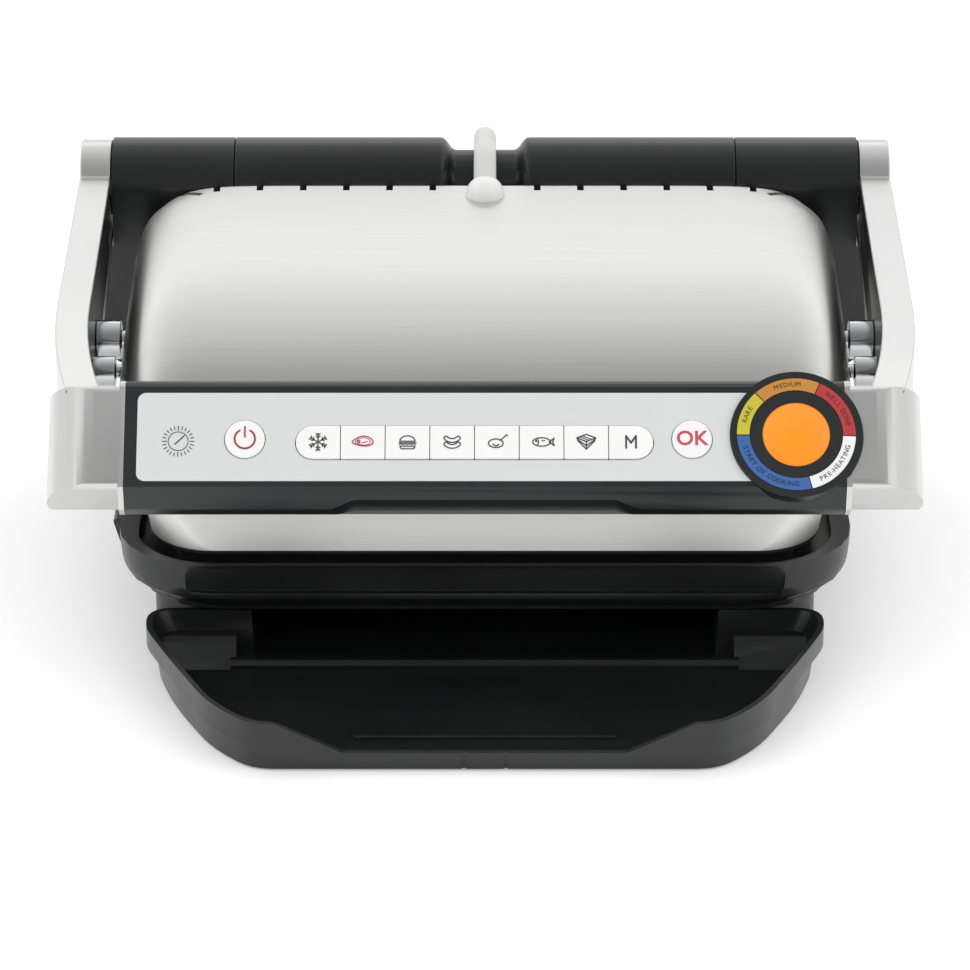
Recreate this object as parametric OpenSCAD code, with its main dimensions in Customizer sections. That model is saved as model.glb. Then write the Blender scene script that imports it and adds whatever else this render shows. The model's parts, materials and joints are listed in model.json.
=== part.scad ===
// Electric contact grill with a hinged, floating lid and a pull-out drip tray.
// Millimetres, +Z up, front towards -Y, origin on the worktop under the middle of the whole.

/* [Lid] */
// Width of the lid at its lower edge
lid_w = 287; // [275:1:300]
// Depth of the lid from front edge to back edge
lid_d = 177.4; // [168:0.1:190]
// Height of the lid's crown above its lower edge
crown_h = 101; // [96:0.5:106]
// How far the lid's sides bulge out past the lower edge
lid_bulge = 14.5; // [10:0.5:17]
// Plan radius of the lid's front corners
lid_r_front = 28; // [20:1:36]
// Plan radius of the lid's back corners
lid_r_back = 20; // [17:1:32]
// Thickness of the steel cover
cover_t = 1; // [0.8:0.1:1.4]
// Height of the steel cover's lower edge above the worktop
cover_z = 49.5; // [49:0.1:52]
// Depth of the black edge of the lid housing that shows under the steel
housing_edge = 1.8; // [1.2:0.1:2.4]
// Width of each vent slot along the back edge of the steel cover
vent_w = 3; // [2:0.5:4]
// Distance between vent slots
vent_pitch = 19.35; // [15:0.05:20]

/* [Base] */
// Height of the base's top rim above the worktop
rim_z = 46.4; // [46:0.1:46.6]
// Height of the base shell's underside above the worktop
base_floor_z = 26; // [24:0.5:28]
// Wall thickness of the base shell
base_wall = 2.4; // [1.8:0.1:3]
// Gap between the lid's edge and the rim around it
rim_gap = 5.5; // [4.5:0.1:6.5]
// Extra width of the rim beside the lid
side_rim = 6; // [4:0.5:8]
// How much narrower the base is at its underside, each side
base_taper = 9; // [6:0.5:12]
// Height of a rubber foot
foot_h = 6; // [4:0.5:8]
// Diameter of a rubber foot
foot_d = 24; // [18:1:28]

/* [Plates] */
// Depth of the flat part of a cooking plate
plate_t = 3.6; // [3:0.1:4.2]
// Height of the ribs on a cooking plate
rib_h = 3; // [2:0.1:3.4]
// Distance between ribs
rib_pitch = 11; // [9:0.5:14]
// Gap between the ribs of the two closed plates
cooking_gap = 5.2; // [5:0.1:6]
// Diameter of the tubular heating elements
heater_d = 6.5; // [5:0.5:7]

/* [Hinge] */
// Radius of the hinge barrel
barrel_r = 19; // [16:0.5:21]
// Height of the hinge axis above the worktop
hinge_z = 142; // [138:0.5:146]
// Gap between the lid's back edge and the barrel
barrel_gap = 7; // [6:0.5:12]
// Half length of the barrel from seam to seam of its middle cover
barrel_mid = 113.5; // [108:0.1:116]
// Diameter of the hinge shaft
shaft_d = 10; // [8:0.5:12]
// Radius of the barrel's neck under the cable conduit
neck_r = 13.3; // [11:0.1:14]
// Outer diameter of the cable conduit
conduit_d = 10; // [8:0.5:11]
// Running clearance on radius of shafts and pins
run_gap = 0.05; // [0.03:0.01:0.08]

/* [Arms] */
// Room between the lid's widest part and an arm
pin_room = 11; // [9:0.5:14]
// Width of an arm seen from above
arm_w = 14; // [12:0.5:15]
// Height of an arm
arm_h = 22; // [18:0.5:26]
// Gap between the end of the hinge tower and the arm
arm_gap = 0.5; // [0.3:0.1:1]
// Radius of the arm's hub around the hinge
hub_r = 18; // [15:0.5:18.5]
// Height of the arm's top face where it meets the handle
arm_front_z = 134.4; // [130:0.1:138]
// Radius of the arm's inward bend seen from above
arm_bend_r = 340; // [320:5:600]
// Distance of the float pivot in front of the hinge axis
pivot_dy = 112; // [100:1:120]
// Height of the float pivot above the worktop
pivot_z = 109; // [100:1:114]
// Diameter of the float pivot's collar
pivot_d = 17; // [14:0.5:18]
// Diameter of the pivot's bearing journal
journal_d = 8; // [6:0.5:9]
// Distance from the float pivot to the stop pin in front of it
stop_dy = 36; // [30:1:44]
// Diameter of the stop pin's collar
stop_d = 13; // [10:0.5:15]

/* [Handle] */
// How far each end of the handle stays inside the arm's outer face
handle_inset = 2; // [1:0.5:4]
// Height of the sloping control face, lower edge to top edge
face_h = 45; // [42:0.5:48]
// Tilt of the control face from level
face_tilt = 46.4; // [42:0.1:50]
// Distance of the control face's middle in front of the lid's edge
face_dy = 42.7; // [40:0.1:48]
// Height of the control face's middle above the worktop
face_z = 121.4; // [118:0.1:126]
// Radius of the handle's ends where they turn back to the arms
end_r = 20; // [16:1:24]
// Wall thickness of the handle frame
frame_t = 2.5; // [2:0.1:3]
// Thickness of the black bezel
bezel_t = 5; // [4.4:0.1:6]

/* [Controls] */
// Length of the black bezel
bezel_w = 296; // [290:1:300]
// Radius of the round black indicator housing
dial_r = 27.5; // [26.5:0.1:28.5]
// Distance of the indicator to the right of the middle
dial_x = 127.8; // [124:0.1:131]
// Radius of the indicator's lens
lens_r = 13.8; // [11:0.1:15]
// Inner radius of the indicator's colour ring
ring_ri = 19.2; // [18:0.1:20]
// Outer radius of the indicator's colour ring
ring_ro = 24.4; // [23:0.1:25]
// Left end of the light fascia
fascia_x0 = -143; // [-145:0.5:-140]
// Height of the light fascia
fascia_h = 38.6; // [36:0.2:41]
// Thickness of the light fascia
fascia_t = 1.2; // [1:0.1:1.6]
// Radius of the power and OK buttons
button_r = 8.2; // [7:0.1:9]
// Distance of the power button from the middle
power_x = -98.6; // [-101:0.1:-92]
// Distance of the OK button from the middle
ok_x = 85; // [83:0.1:88]
// Width of one programme key
key_pitch = 18.35; // [16:0.05:18.6]
// Height of the programme keys
key_h = 14.4; // [12:0.2:16]
// Middle of the row of programme keys
key_x = -4.3; // [-8:0.1:0]
// How far a key or button stands out of the fascia
key_proud = 0.8; // [0.6:0.1:1.2]
// Travel of a key or button
key_travel = 1; // [0.6:0.1:1.2]
// Gap around each key
key_gap = 0.3; // [0.3:0.05:0.4]

/* [Drip tray] */
// How far the tray stands out in front of the base
tray_out = 100.5; // [90:0.5:115]
// Height of the tray's rim above the worktop
tray_rim_z = 21.8; // [19:0.1:23]
// Width of the tray at its wings
tray_w = 288; // [270:1:294]
// Width of the tray at its front edge
tray_front_w = 186; // [160:1:200]
// Width of the tray's tongue that slides under the base
tongue_w = 214; // [190:1:220]
// Length of the tongue behind the base's front edge
tongue_l = 128; // [110:1:135]
// Wall thickness of the tray
tray_wall = 2.2; // [1.8:0.1:2.6]
// Gap between the tray and what it slides on
slide_gap = 0.3; // [0.3:0.05:0.6]

/* [Release buttons] */
// Length of a plate release button
release_l = 38; // [30:1:44]
// Height of the upper plate release button
release_h = 9; // [7:0.5:10]
// Height of the lower plate release button
lower_release_h = 12; // [9:0.5:13]
// How far a plate release button stands out
release_out = 6; // [5:0.5:8]
// Travel of a plate release button
release_travel = 3; // [2:0.5:4]

/* [Hidden] */
$fn = 48;

eps = 0.01;
black = "#2b2c2d";
steel = "#d2d2ce";
silver = "#dcdddb";
grey = "#3a3c3d";

// Places worked out from the driving sizes; the whole is centred front to back
tower_out = 2;
gland_step = 0.2;
base_rim = rim_gap + base_wall;
gland_l = 12.6;
lid_y0 = (tray_out + base_rim - lid_d - barrel_gap - 2 * barrel_r - tower_out - gland_l - gland_step) / 2;
lid_y1 = lid_y0 + lid_d;
lid_ym = (lid_y0 + lid_y1) / 2;
edge_z = cover_z - housing_edge;
base_w = lid_w + 2 * (base_rim + side_rim);
base_y0 = lid_y0 - base_rim;
hinge_y = lid_y1 + barrel_gap + barrel_r;
base_y1 = hinge_y + barrel_r + tower_out;
deck_y = lid_y1 + base_rim;
arm_x0 = lid_w / 2 + lid_bulge + pin_room;
tower_l = arm_x0 - arm_gap - barrel_mid;
shaft_r = shaft_d / 2;
arm_x1 = arm_x0 + arm_w;
handle_w = 2 * (arm_x1 - handle_inset);
pivot_y = hinge_y - pivot_dy;
stop_y = pivot_y - stop_dy;
journal_r = journal_d / 2;
ear_x = lid_w / 2 - 14;
ear_t = 7;
lower_top = edge_z - 3.4;
lower_z = lower_top - rib_h - plate_t;
upper_z = lower_top + cooking_gap + rib_h;
plate_in = 10.5;
plate_w = lid_w - 2 * plate_in;
plate_d = lid_d - 2 * plate_in;
face_y = lid_y0 - face_dy;
tray_y0 = base_y0 - tray_out;
tray_y1 = base_y0 + tongue_l;
wing_y = base_y0 + 10;
tray_floor = 3;
pocket_w = tongue_w + 2 * slide_gap;
pocket_y1 = tray_y1 + 6;
leg_z = foot_h - 3;
gland_r = 3.6;
gland_z = 34;
socket_y = hinge_y + neck_r - 1;
boss_y = lid_y1 - 16;
tower_step = 115;
tower_knee = 62;
leg_out = 7;
arm_cap = 14;
stop_tip = 3;
stop_play = 2.2;
ear_r = 7;
housing_top = edge_z + 19.6;
boss_arm = 26;
boss_z = cover_z + crown_h - 0.5;
boss_r = 8.7;
vent_n = 6;
crest = 7;
bulge_h = 50;
vent_x0 = 23.4;
vent_y = lid_y1 - 11;
vent_z = 0.8 * crown_h;
release_y = -3;
lower_rel_z = rim_z - lower_release_h - 1.5;
upper_rel_z = cover_z + 2.5;
lower_reach = 10 + release_travel;
upper_reach = 12 + release_travel;
release_slant = 3.5;
housing_in = cover_t + 5.4;
plate_margin = 8;
rib_w = 3.4;
heater_seat = 1.6;
reflector_h = 8;
spout_w = 34;
base_steps = 5;
panel_w = base_w - 60.8;
base_r = 40;
ledge = 14;
ledge_t = 3;
front_lean = 8;
skirt_w = base_w - 28.8;
skirt_y0 = base_y0 + 24;
flange_w = 5;
flange_t = 2;
rail_z = tray_rim_z - flange_t - slide_gap;
foot_x = skirt_w / 2 - 15;
foot_y0 = skirt_y0 + 16;
foot_y1 = base_y1 - 24;
foot_stud = 4;
screw_x = lid_w / 2 - 23.5;
screw_y0 = lid_ym - 30;
screw_l = 3;
tongue_b = tongue_w / 2 - flange_w;
screw_y1 = lid_ym + 62;
screw_r = 1.6;
board_z = base_floor_z + 4;
gland_neck = 6;
shaft_x = arm_x1 - 5;
bush_r = 9;
arm_skin = 2.2;
arm_back_z = 150.2;
arm_front_y = lid_y0 - 18;
arm_end_y = lid_y0 - 26;
arm_bend_y = -8;
pivot_drop = 13;
liner_x = arm_x0 + 0.6;
board_w = bezel_w - 60;
panel_screw_x = 70;
end_depth = 31;
end_edge = 8;
lip_depth = 19;
key_y = -3.2;
button_y = -1.8;
lens_sphere = 44;
neck_x0 = 13.5;
neck_x1 = 19.5;
n_neck = 12;
lip_z = 8.6;
tray_z0 = 0.8;
ramp_y = tray_y0 + 39;
band_z = 11;
wall_lean = 1.2;
wing_step = 4;
wing_x0 = tongue_b + 4;
wing_z = 12.6;
ridge_z = 6.6;
line_w = 108;
tab_x = 8.5;

// Points of an arc, for outlines
function arc(x, y, r, a0, a1, n = 8) = [for (i = [0:n]) [x + r * cos(a0 + (a1 - a0) * i / n),
  y + r * sin(a0 + (a1 - a0) * i / n)]];
function bez(p, t) = pow(1 - t, 3) * p[0] + 3 * pow(1 - t, 2) * t * p[1]
  + 3 * (1 - t) * t * t * p[2] + pow(t, 3) * p[3];

// Plan outline of the lid's lower edge, moved in by d
function lid_outline(d) = concat(
  arc(lid_w / 2 - lid_r_front, lid_y0 + lid_r_front, lid_r_front - d, -90, 0),
  arc(lid_w / 2 - lid_r_back, lid_y1 - lid_r_back, lid_r_back - d, 0, 90),
  arc(-lid_w / 2 + lid_r_back, lid_y1 - lid_r_back, lid_r_back - d, 90, 180),
  arc(-lid_w / 2 + lid_r_front, lid_y0 + lid_r_front, lid_r_front - d, 180, 270));

// A rounded rectangle from (x0, y0) to (x1, y1)
module rrect(x0, y0, x1, y1, r, n = 6) {
  polygon(concat(arc(x1 - r, y0 + r, r, -90, 0, n), arc(x1 - r, y1 - r, r, 0, 90, n),
    arc(x0 + r, y1 - r, r, 90, 180, n), arc(x0 + r, y0 + r, r, 180, 270, n)));
}
module slab(z0, z1, x0, y0, x1, y1, r) {
  translate([0, 0, z0]) linear_extrude(z1 - z0) rrect(x0, y0, x1, y1, r);
}
// A cylinder along X from x0 to x1 around (y, z)
module xcyl(x0, x1, y, z, r) {
  translate([x0, y, z]) rotate([0, 90, 0]) cylinder(r = r, h = x1 - x0);
}
// Mirrors to the left when side is -1
module on(side) {
  mirror([side < 0 ? 1 : 0, 0, 0]) children();
}
// The control face's own frame: x right, y up the slope, z out of the face
module face() {
  translate([0, face_y, face_z]) rotate([face_tilt, 0, 0]) children();
}

// ---- Lid
// The dome: a front-to-back profile, and an arch across it that narrows with the plan corners.
prof_front = [[0, 0], [0.04 * lid_d, 0.85 * crown_h], [0.25 * lid_d, 0.95 * crown_h],
  [lid_d - crest, crown_h]];
prof_back = [[lid_d - crest, crown_h], [lid_d - 0.4 * crest, crown_h + 0.5], [lid_d, crown_h - 4],
  [lid_d, 0.82 * crown_h]];
// Exponents of the arch across the lid: |x|^arch_x + |z|^arch_z = 1
arch_x = 13;
arch_z = 6;
n_front = 18;
n_back = 6;
n_wall = 3;
n_arch = 32;
function profile(i) = i <= n_front ? bez(prof_front, pow(i / n_front, 1.4))
  : i <= n_front + n_back ? bez(prof_back, (i - n_front) / n_back)
  : [lid_d, 0.82 * crown_h * (1 - (i - n_front - n_back) / n_wall)];
function half_w(y) = let (a = lid_w / 2, f = lid_r_front, b = lid_r_back)
  y < f ? a - f + sqrt(f * f - (f - y) * (f - y))
  : y > lid_d - b ? a - b + sqrt(max(0, b * b - pow(y - lid_d + b, 2))) : a;
// A point of the arch: even steps along x over the crown, even steps along z down the sides
function arch_point(q) = q <= 0.5
  ? let (x = pow(0.5, 1 / arch_x) * pow(2 * q, 0.7)) [x, pow(1 - pow(x, arch_x), 1 / arch_z)]
  : let (z = pow(0.5, 1 / arch_z) * pow(2 - 2 * q, 0.7)) [pow(1 - pow(z, arch_z), 1 / arch_x), z];
function arch(i, j) = let (p = profile(i), v = 2 * j / n_arch - 1, c = arch_point(abs(v)), z = p[1] * c[1])
  [(half_w(p[0]) + lid_bulge * pow(sin(90 * min(1, z / bulge_h)), 1.5)) * c[0] * sign(v), p[0], z];
function shrink(p, t) = [p[0] * (1 - 2 * t / lid_w), lid_d / 2 + (p[1] - lid_d / 2) * (1 - 2 * t / lid_d),
  p[2] * (1 - t / crown_h)];
n_rows = n_front + n_back + n_wall;
module dome(t) {
  // Outer and inner grids joined along the lower edge
  m = n_arch + 1;
  k = (n_rows + 1) * m;
  outer = [for (i = [0:n_rows]) for (j = [0:n_arch]) arch(i, j)];
  pts = concat(outer, [for (p = outer) shrink(p, t)]);
  rim = concat([for (j = [0:n_arch]) j], [for (i = [1:n_rows]) i * m + n_arch],
    [for (j = [1:n_arch]) n_rows * m + n_arch - j], [for (i = [1:n_rows - 1]) (n_rows - i) * m]);
  nr = len(rim);
  polyhedron(pts, concat(
    [for (i = [0:n_rows - 1]) for (j = [0:n_arch - 1]) for (q = [0, 1])
      q == 0 ? [i * m + j, i * m + m + j, i * m + j + 1] : [i * m + m + j, i * m + m + j + 1, i * m + j + 1]],
    [for (i = [0:n_rows - 1]) for (j = [0:n_arch - 1]) for (q = [0, 1])
      q == 0 ? [k + i * m + j, k + i * m + j + 1, k + i * m + m + j]
        : [k + i * m + m + j, k + i * m + j + 1, k + i * m + m + j + 1]],
    [for (i = [0:nr - 1]) let (a = rim[i], b = rim[(i + 1) % nr]) for (q = [0, 1])
      q == 0 ? [a, b, k + a] : [b, k + b, k + a]]));
}
module pivot_holes(r_pivot, r_stop) {
  xcyl(-lid_w, lid_w, pivot_y, pivot_z, r_pivot);
  xcyl(-lid_w, lid_w, stop_y, pivot_z, r_stop);
}
module vents() {
  // Slots through the back edge, and a slanted one at each corner
  for (side = [-1, 1]) on(side) {
    for (i = [0:vent_n - 1]) translate([vent_x0 + i * vent_pitch - vent_w / 2, vent_y, cover_z + vent_z])
      cube([vent_w, lid_d, crown_h]);
    translate([vent_x0 + (vent_n - 0.45) * vent_pitch, vent_y + 1, cover_z + vent_z]) rotate(-55)
      translate([-vent_w / 2, -5, 0]) cube([vent_w, 12, crown_h]);
  }
}
module lid_cover() color(steel) difference() {
  translate([0, lid_y0, cover_z]) dome(cover_t);
  pivot_holes(journal_r + 1, stop_tip + stop_play);
  translate([-lid_w, release_y - release_l / 2 - 1, 0]) cube([lid_w, release_l + 2, upper_rel_z + release_h + 1]);
  vents();
  translate([0, boss_y, boss_z - 12]) cylinder(r = boss_r + 0.1, h = 20);
}
// Black frame under the steel: a rim that shows as a thin line, a ceiling and two bearing ears
module lid_housing() color(black) difference() {
  union() {
    translate([0, 0, edge_z]) linear_extrude(cover_z - edge_z) polygon(lid_outline(0.3));
    translate([0, 0, edge_z]) linear_extrude(housing_top - edge_z) polygon(lid_outline(housing_in));
    for (side = [-1, 1]) on(side) {
      translate([ear_x, stop_y - ear_r, housing_top - 2])
        cube([ear_t, pivot_y - stop_y + 2 * ear_r, pivot_z - housing_top + 2]);
      xcyl(ear_x, ear_x + ear_t, pivot_y, pivot_z, ear_r);
      xcyl(ear_x, ear_x + ear_t, stop_y, pivot_z, ear_r);
    }
    translate([-boss_arm / 2, boss_y - 7, housing_top - 2]) cube([boss_arm, 14, boss_z - 8 - housing_top + 2]);
  }
  translate([0, 0, edge_z - 1]) linear_extrude(upper_z - edge_z + 2) polygon(lid_outline(plate_margin));
  translate([0, 0, upper_z]) linear_extrude(housing_top - 2.4 - upper_z)
    polygon(lid_outline(housing_in + 2));
  for (side = [-1, 1]) on(side) {
    xcyl(ear_x - 1, ear_x + ear_t + 1, pivot_y, pivot_z, journal_r + run_gap);
    xcyl(ear_x - 1, ear_x + ear_t + 1, stop_y, pivot_z, stop_tip + stop_play);
  }
  translate([-lid_w, release_y - release_l / 2 - slide_gap, upper_rel_z - slide_gap])
    cube([lid_w, release_l + 2 * slide_gap, release_h + 2 * slide_gap]);
  screw_holes(housing_top - 3, 4);
}
// How far back a rib at x may reach inside the plate's rounded corners
function half_y(x) = x < lid_w / 2 - lid_r_back ? 0
  : -lid_r_back + sqrt(max(0, pow(lid_r_back, 2) - pow(x - lid_w / 2 + lid_r_back, 2)));
// ---- Cooking plates
module ribs(z, h) {
  n = floor((plate_w - 30) / rib_pitch / 2);
  for (i = [-n:n]) let (y = half_y(abs(i) * rib_pitch + rib_w / 2))
    translate([i * rib_pitch - rib_w / 2, lid_ym - plate_d / 2 + 12, z]) cube([rib_w, plate_d - 24 + y, h]);
}
module plate_shape(z0, z1, d = 0) translate([0, 0, z0]) linear_extrude(z1 - z0) polygon(lid_outline(plate_in + d));
module upper_plate() color(grey) difference() {
  union() {
    plate_shape(upper_z, upper_z + plate_t);
    ribs(upper_z - rib_h, rib_h + eps);
  }
  heater_path(upper_z + plate_t + heater_d / 2 - heater_seat, heater_d / 2 + 0.05);
}
module lower_plate() color(grey) difference() {
  union() {
    plate_shape(lower_z, lower_z + plate_t);
    difference() {
      plate_shape(lower_z, lower_top - 0.8);
      plate_shape(lower_z - 1, lower_top, 4);
    }
    ribs(lower_z + plate_t - eps, rib_h + eps);
  }
  // Grease hole and the groove that leads to it
  translate([-spout_w / 2, lid_ym - plate_d / 2 + 5, lower_z - 1]) cube([spout_w, 6, rib_h + plate_t + 2]);
  heater_path(lower_z - heater_d / 2 + heater_seat, heater_d / 2 + 0.05);
}
// Tubular element: two runs joined by a half ring, with straight cold ends
module heater_path(z, r) {
  b = plate_d / 2 - 30;
  w = plate_w / 2 - b - 16;
  for (s = [-1, 1]) translate([-w, lid_ym + s * b, z]) rotate([0, 90, 0]) cylinder(r = r, h = 2 * w);
  translate([w, lid_ym, z]) rotate([0, 0, -90]) rotate_extrude(angle = 180) translate([b, 0]) circle(r);
}
module upper_heater() color("#8c8c88") heater_path(upper_z + plate_t + heater_d / 2 - heater_seat, heater_d / 2);
module lower_heater() color("#8c8c88") heater_path(lower_z - heater_d / 2 + heater_seat, heater_d / 2);
module reflector(z) {
  // Thin tray of bright sheet that sends the heat back to the plate
  difference() {
    plate_shape(z, z + reflector_h, 5);
    plate_shape(z + 0.8, z + reflector_h + 1, 6);
  }
}
module lower_reflector() color("#c5c6c4") difference() {
  reflector(lower_z - reflector_h);
  translate([-spout_w / 2 - 3, lid_ym - plate_d / 2, lower_z - reflector_h - 1])
    cube([spout_w + 6, 16, reflector_h + 2]);
}
module upper_reflector() color("#c5c6c4") translate([0, 0, 2 * upper_z + plate_t]) mirror([0, 0, 1])
  reflector(upper_z - reflector_h);
module thermostat(z) slab(z, z + 4, -9, lid_ym - 12, 9, lid_ym + 12, 3);
module lower_thermostat() color("#b59a6a") thermostat(lower_z - 4);
module upper_thermostat() color("#b59a6a") thermostat(upper_z + plate_t);
// ---- Base
module base_body(z0, z1, d) {
  // The tub's outer form: sides that round off towards its underside, moved in by d
  function lean(z) = base_taper * (1 - sqrt(1 - pow((rim_z - z) / (rim_z - base_floor_z), 3)));
  level = [for (i = [0:base_steps]) z0 + (z1 - z0) * i / base_steps];
  for (i = [0:base_steps - 1])
    hull() for (k = [0, 1]) let (z = level[i + k] - k * eps, l = lean(level[i + k]))
      slab(z, z + eps, -base_w / 2 + d + l, base_y0 + d + l / 3, base_w / 2 - d - l, base_y1 - d - l / 4, base_r - d);
}
module base_shell() color(black) difference() {
  base_body(base_floor_z, rim_z, 0);
  // Room for the lid's edge and the lower plate
  translate([0, 0, lower_z - 0.2]) linear_extrude(rim_z) polygon(lid_outline(-rim_gap));
  // Opening inside the ledge that carries the plate
  translate([0, 0, base_floor_z - 1]) linear_extrude(rim_z) polygon(lid_outline(ledge));
  // Undercut below the ledge, and the room behind it for the board
  base_under(base_floor_z - 1, lower_z - 0.2 - ledge_t, base_wall + 1);
  slab(base_floor_z - 1, rim_z - base_wall, -base_w / 2 + 16, deck_y + base_wall, base_w / 2 - 16,
    base_y1 - base_wall - 1, 8);
  // Shallow panel along the front
  translate([0, base_y0 + 1.3, 39]) rotate([front_lean, 0, 0]) 
    translate([0, -1.8, 0]) slab_y(panel_w, 12, 4.4, 3);
  translate([0, base_y1 + 1, gland_z]) rotate([90, 0, 0]) cylinder(r = gland_neck, h = 14);
  translate([0, socket_y, rim_z - 6]) cylinder(r = conduit_d / 2 + 3, h = 8);
  translate([-base_w, release_y - release_l / 2 - slide_gap, lower_rel_z - slide_gap])
    cube([base_w - 20, release_l + 2 * slide_gap, lower_release_h + 2 * slide_gap]);
}
module base_under(z0, z1, d) slab(z0, z1, -base_w / 2 + base_taper + d, base_y0 + base_taper / 3 + d,
  base_w / 2 - base_taper - d, deck_y - 1, base_r - base_taper / 2);
module base_bottom_cover() color("#232425") difference() {
  union() {
    slab(base_floor_z - 2, base_floor_z, -base_w / 2 + base_taper + 1, base_y0 + 4,
      base_w / 2 - base_taper - 1, base_y1 - 4, base_r - 4);
    // Walls beside and behind the tray's pocket, down to the feet
    difference() {
      slab(leg_z, base_floor_z - 1, -skirt_w / 2, skirt_y0, skirt_w / 2, base_y1 - 6, 20);
      translate([-pocket_w / 2, base_y0 - 1, 0]) cube([pocket_w, pocket_y1 - base_y0 + 1, base_floor_z - 2]);
      slab(leg_z - 1, base_floor_z - 2, -pocket_w / 2 + 4, pocket_y1 + 3, pocket_w / 2 - 4, base_y1 - 9, 8);
      for (side = [-1, 1]) on(side)
        slab(leg_z - 1, base_floor_z - 2, pocket_w / 2 + 3, skirt_y0 + 30, skirt_w / 2 - 3, base_y1 - 46, 5);
    }
    // Rails under the tongue's flanges
    for (side = [-1, 1]) on(side) translate([tongue_b + slide_gap, skirt_y0, rail_z - 2])
      cube([flange_w + 1, pocket_y1 - skirt_y0, 2]);
  }
  for (x = [-1, 1]) for (y = [foot_y0, foot_y1]) translate([x * foot_x, y, 0])
    cylinder(r = foot_stud + run_gap, h = base_floor_z - 4);
  translate([-spout_w / 2, lid_ym - plate_d / 2 + 3, base_floor_z - 4]) cube([spout_w, 9, 8]);
  screw_holes(base_floor_z - 3, 4);
}
module feet() color("#1c1c1c") for (x = [-1, 1]) for (y = [foot_y0, foot_y1]) translate([x * foot_x, y, 0]) {
  cylinder(r1 = foot_d / 2 - 1, r2 = foot_d / 2, h = 1);
  translate([0, 0, 1]) cylinder(d = foot_d, h = leg_z - 1);
  cylinder(r = foot_stud, h = leg_z + 8);
}
module screw_holes(z, h) for (x = [-1, 1]) for (y = [screw_y0, screw_y1])
  translate([x * screw_x, y, z]) cylinder(r = screw_r + run_gap, h = h);
module screw(z, up) translate([0, 0, z]) mirror([0, 0, up ? 0 : 1]) {
  cylinder(r = screw_r, h = screw_l);
  translate([0, 0, -1.6]) cylinder(r = 2 * screw_r, h = 1.6);
}
module base_screws() color("#7d7f80") for (x = [-1, 1]) for (y = [screw_y0, screw_y1])
  translate([x * screw_x, y, 0]) screw(base_floor_z - 2, true);
module housing_screws() color("#7d7f80") for (x = [-1, 1]) for (y = [screw_y0, screw_y1])
  translate([x * screw_x, y, 0]) screw(housing_top, false);
module power_board() color("#2e6b3c") {
  slab(board_z, board_z + 1.6, -70, deck_y + base_wall + 1, 70, base_y1 - base_wall - 6, 1);
  for (x = [-50, 50]) translate([x - 8, deck_y + 8, board_z + 1.6]) cube([16, 14, 9]);
  for (x = [-60, 60]) for (y = [deck_y + 10, base_y1 - 14]) translate([x, y, base_floor_z])
    cylinder(r = 3, h = board_z - base_floor_z);
}
module cord_gland() color("#1e1f20") translate([0, base_y1, gland_z]) rotate([-90, 0, 0]) difference() {
  union() {
    translate([0, 0, -base_wall - 3]) cylinder(r = gland_neck - run_gap, h = base_wall + 4);
    translate([0, 0, 0.2]) cylinder(r1 = 8, r2 = 6, h = gland_l);
  }
  translate([0, 0, -8]) cylinder(r = gland_r, h = gland_l + 10);
}
module conduit_socket() color("#2b2c2d") translate([0, socket_y, rim_z - 6]) difference() {
  union() {
    cylinder(r = conduit_d / 2 + 3 - run_gap, h = 6);
    translate([0, 0, 6]) cylinder(r1 = conduit_d / 2 + 5, r2 = conduit_d / 2 + 3, h = 7);
  }
  translate([0, 0, -1]) cylinder(r = conduit_d / 2 + 0.5, h = 20);
}
// ---- Hinge
// A block from y0 to y1 with the outline p seen from the front
module tower_leg(y0, y1, p) translate([0, y1, 0]) rotate([90, 0, 0]) linear_extrude(y1 - y0) polygon(p);
module hinge_tower() difference() {
  x1 = barrel_mid + tower_l;
  union() {
    xcyl(barrel_mid, x1, hinge_y, hinge_z, barrel_r);
    tower_leg(hinge_y - barrel_r, hinge_y + 1, [[barrel_mid + 0.4, tower_step], [x1, tower_step], [x1, hinge_z],
      [barrel_mid + 0.4, hinge_z]]);
    // The leg widens under the arm and narrows again to the base
    tower_leg(hinge_y - barrel_r + 8, base_y1 - 1, [[barrel_mid + 2, rim_z], [base_w / 2 - 4, rim_z],
      [arm_x0 + leg_out, tower_knee], [arm_x0 + leg_out, tower_step - 11], [x1, tower_step],
      [x1, tower_step + 1], [barrel_mid + 2, tower_step + 1]]);
    tower_leg(hinge_y - barrel_r + 5, base_y1 - 1, [[barrel_mid + 2, rim_z], [base_w / 2 - 4, rim_z],
      [base_w / 2 - 3, rim_z + 6], [barrel_mid + 2, rim_z + 6]]);
  }
  xcyl(barrel_mid - 1, arm_x0 + 1, hinge_y, hinge_z, shaft_r + run_gap);
}
module left_hinge_tower() color(black) on(-1) hinge_tower();
module right_hinge_tower() color(black) on(1) hinge_tower();
module hinge_shaft() color("#b7b8b6") xcyl(-shaft_x, shaft_x, hinge_y, hinge_z, shaft_r);
module barrel_cover() color(black) translate([0, hinge_y, hinge_z]) rotate([0, 90, 0]) difference() {
  rotate_extrude($fn = 64) polygon(barrel_profile(0, barrel_mid - 0.4));
  for (s = [-1, 1]) translate([0, 0, s > 0 ? neck_x1 + 3 : -barrel_mid + 3.4])
    cylinder(r = barrel_r - 2.4, h = barrel_mid - neck_x1 - 6.4);
  translate([0, 0, -barrel_mid - 1]) cylinder(r = shaft_r + run_gap, h = 2 * barrel_mid + 2);
}
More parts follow.
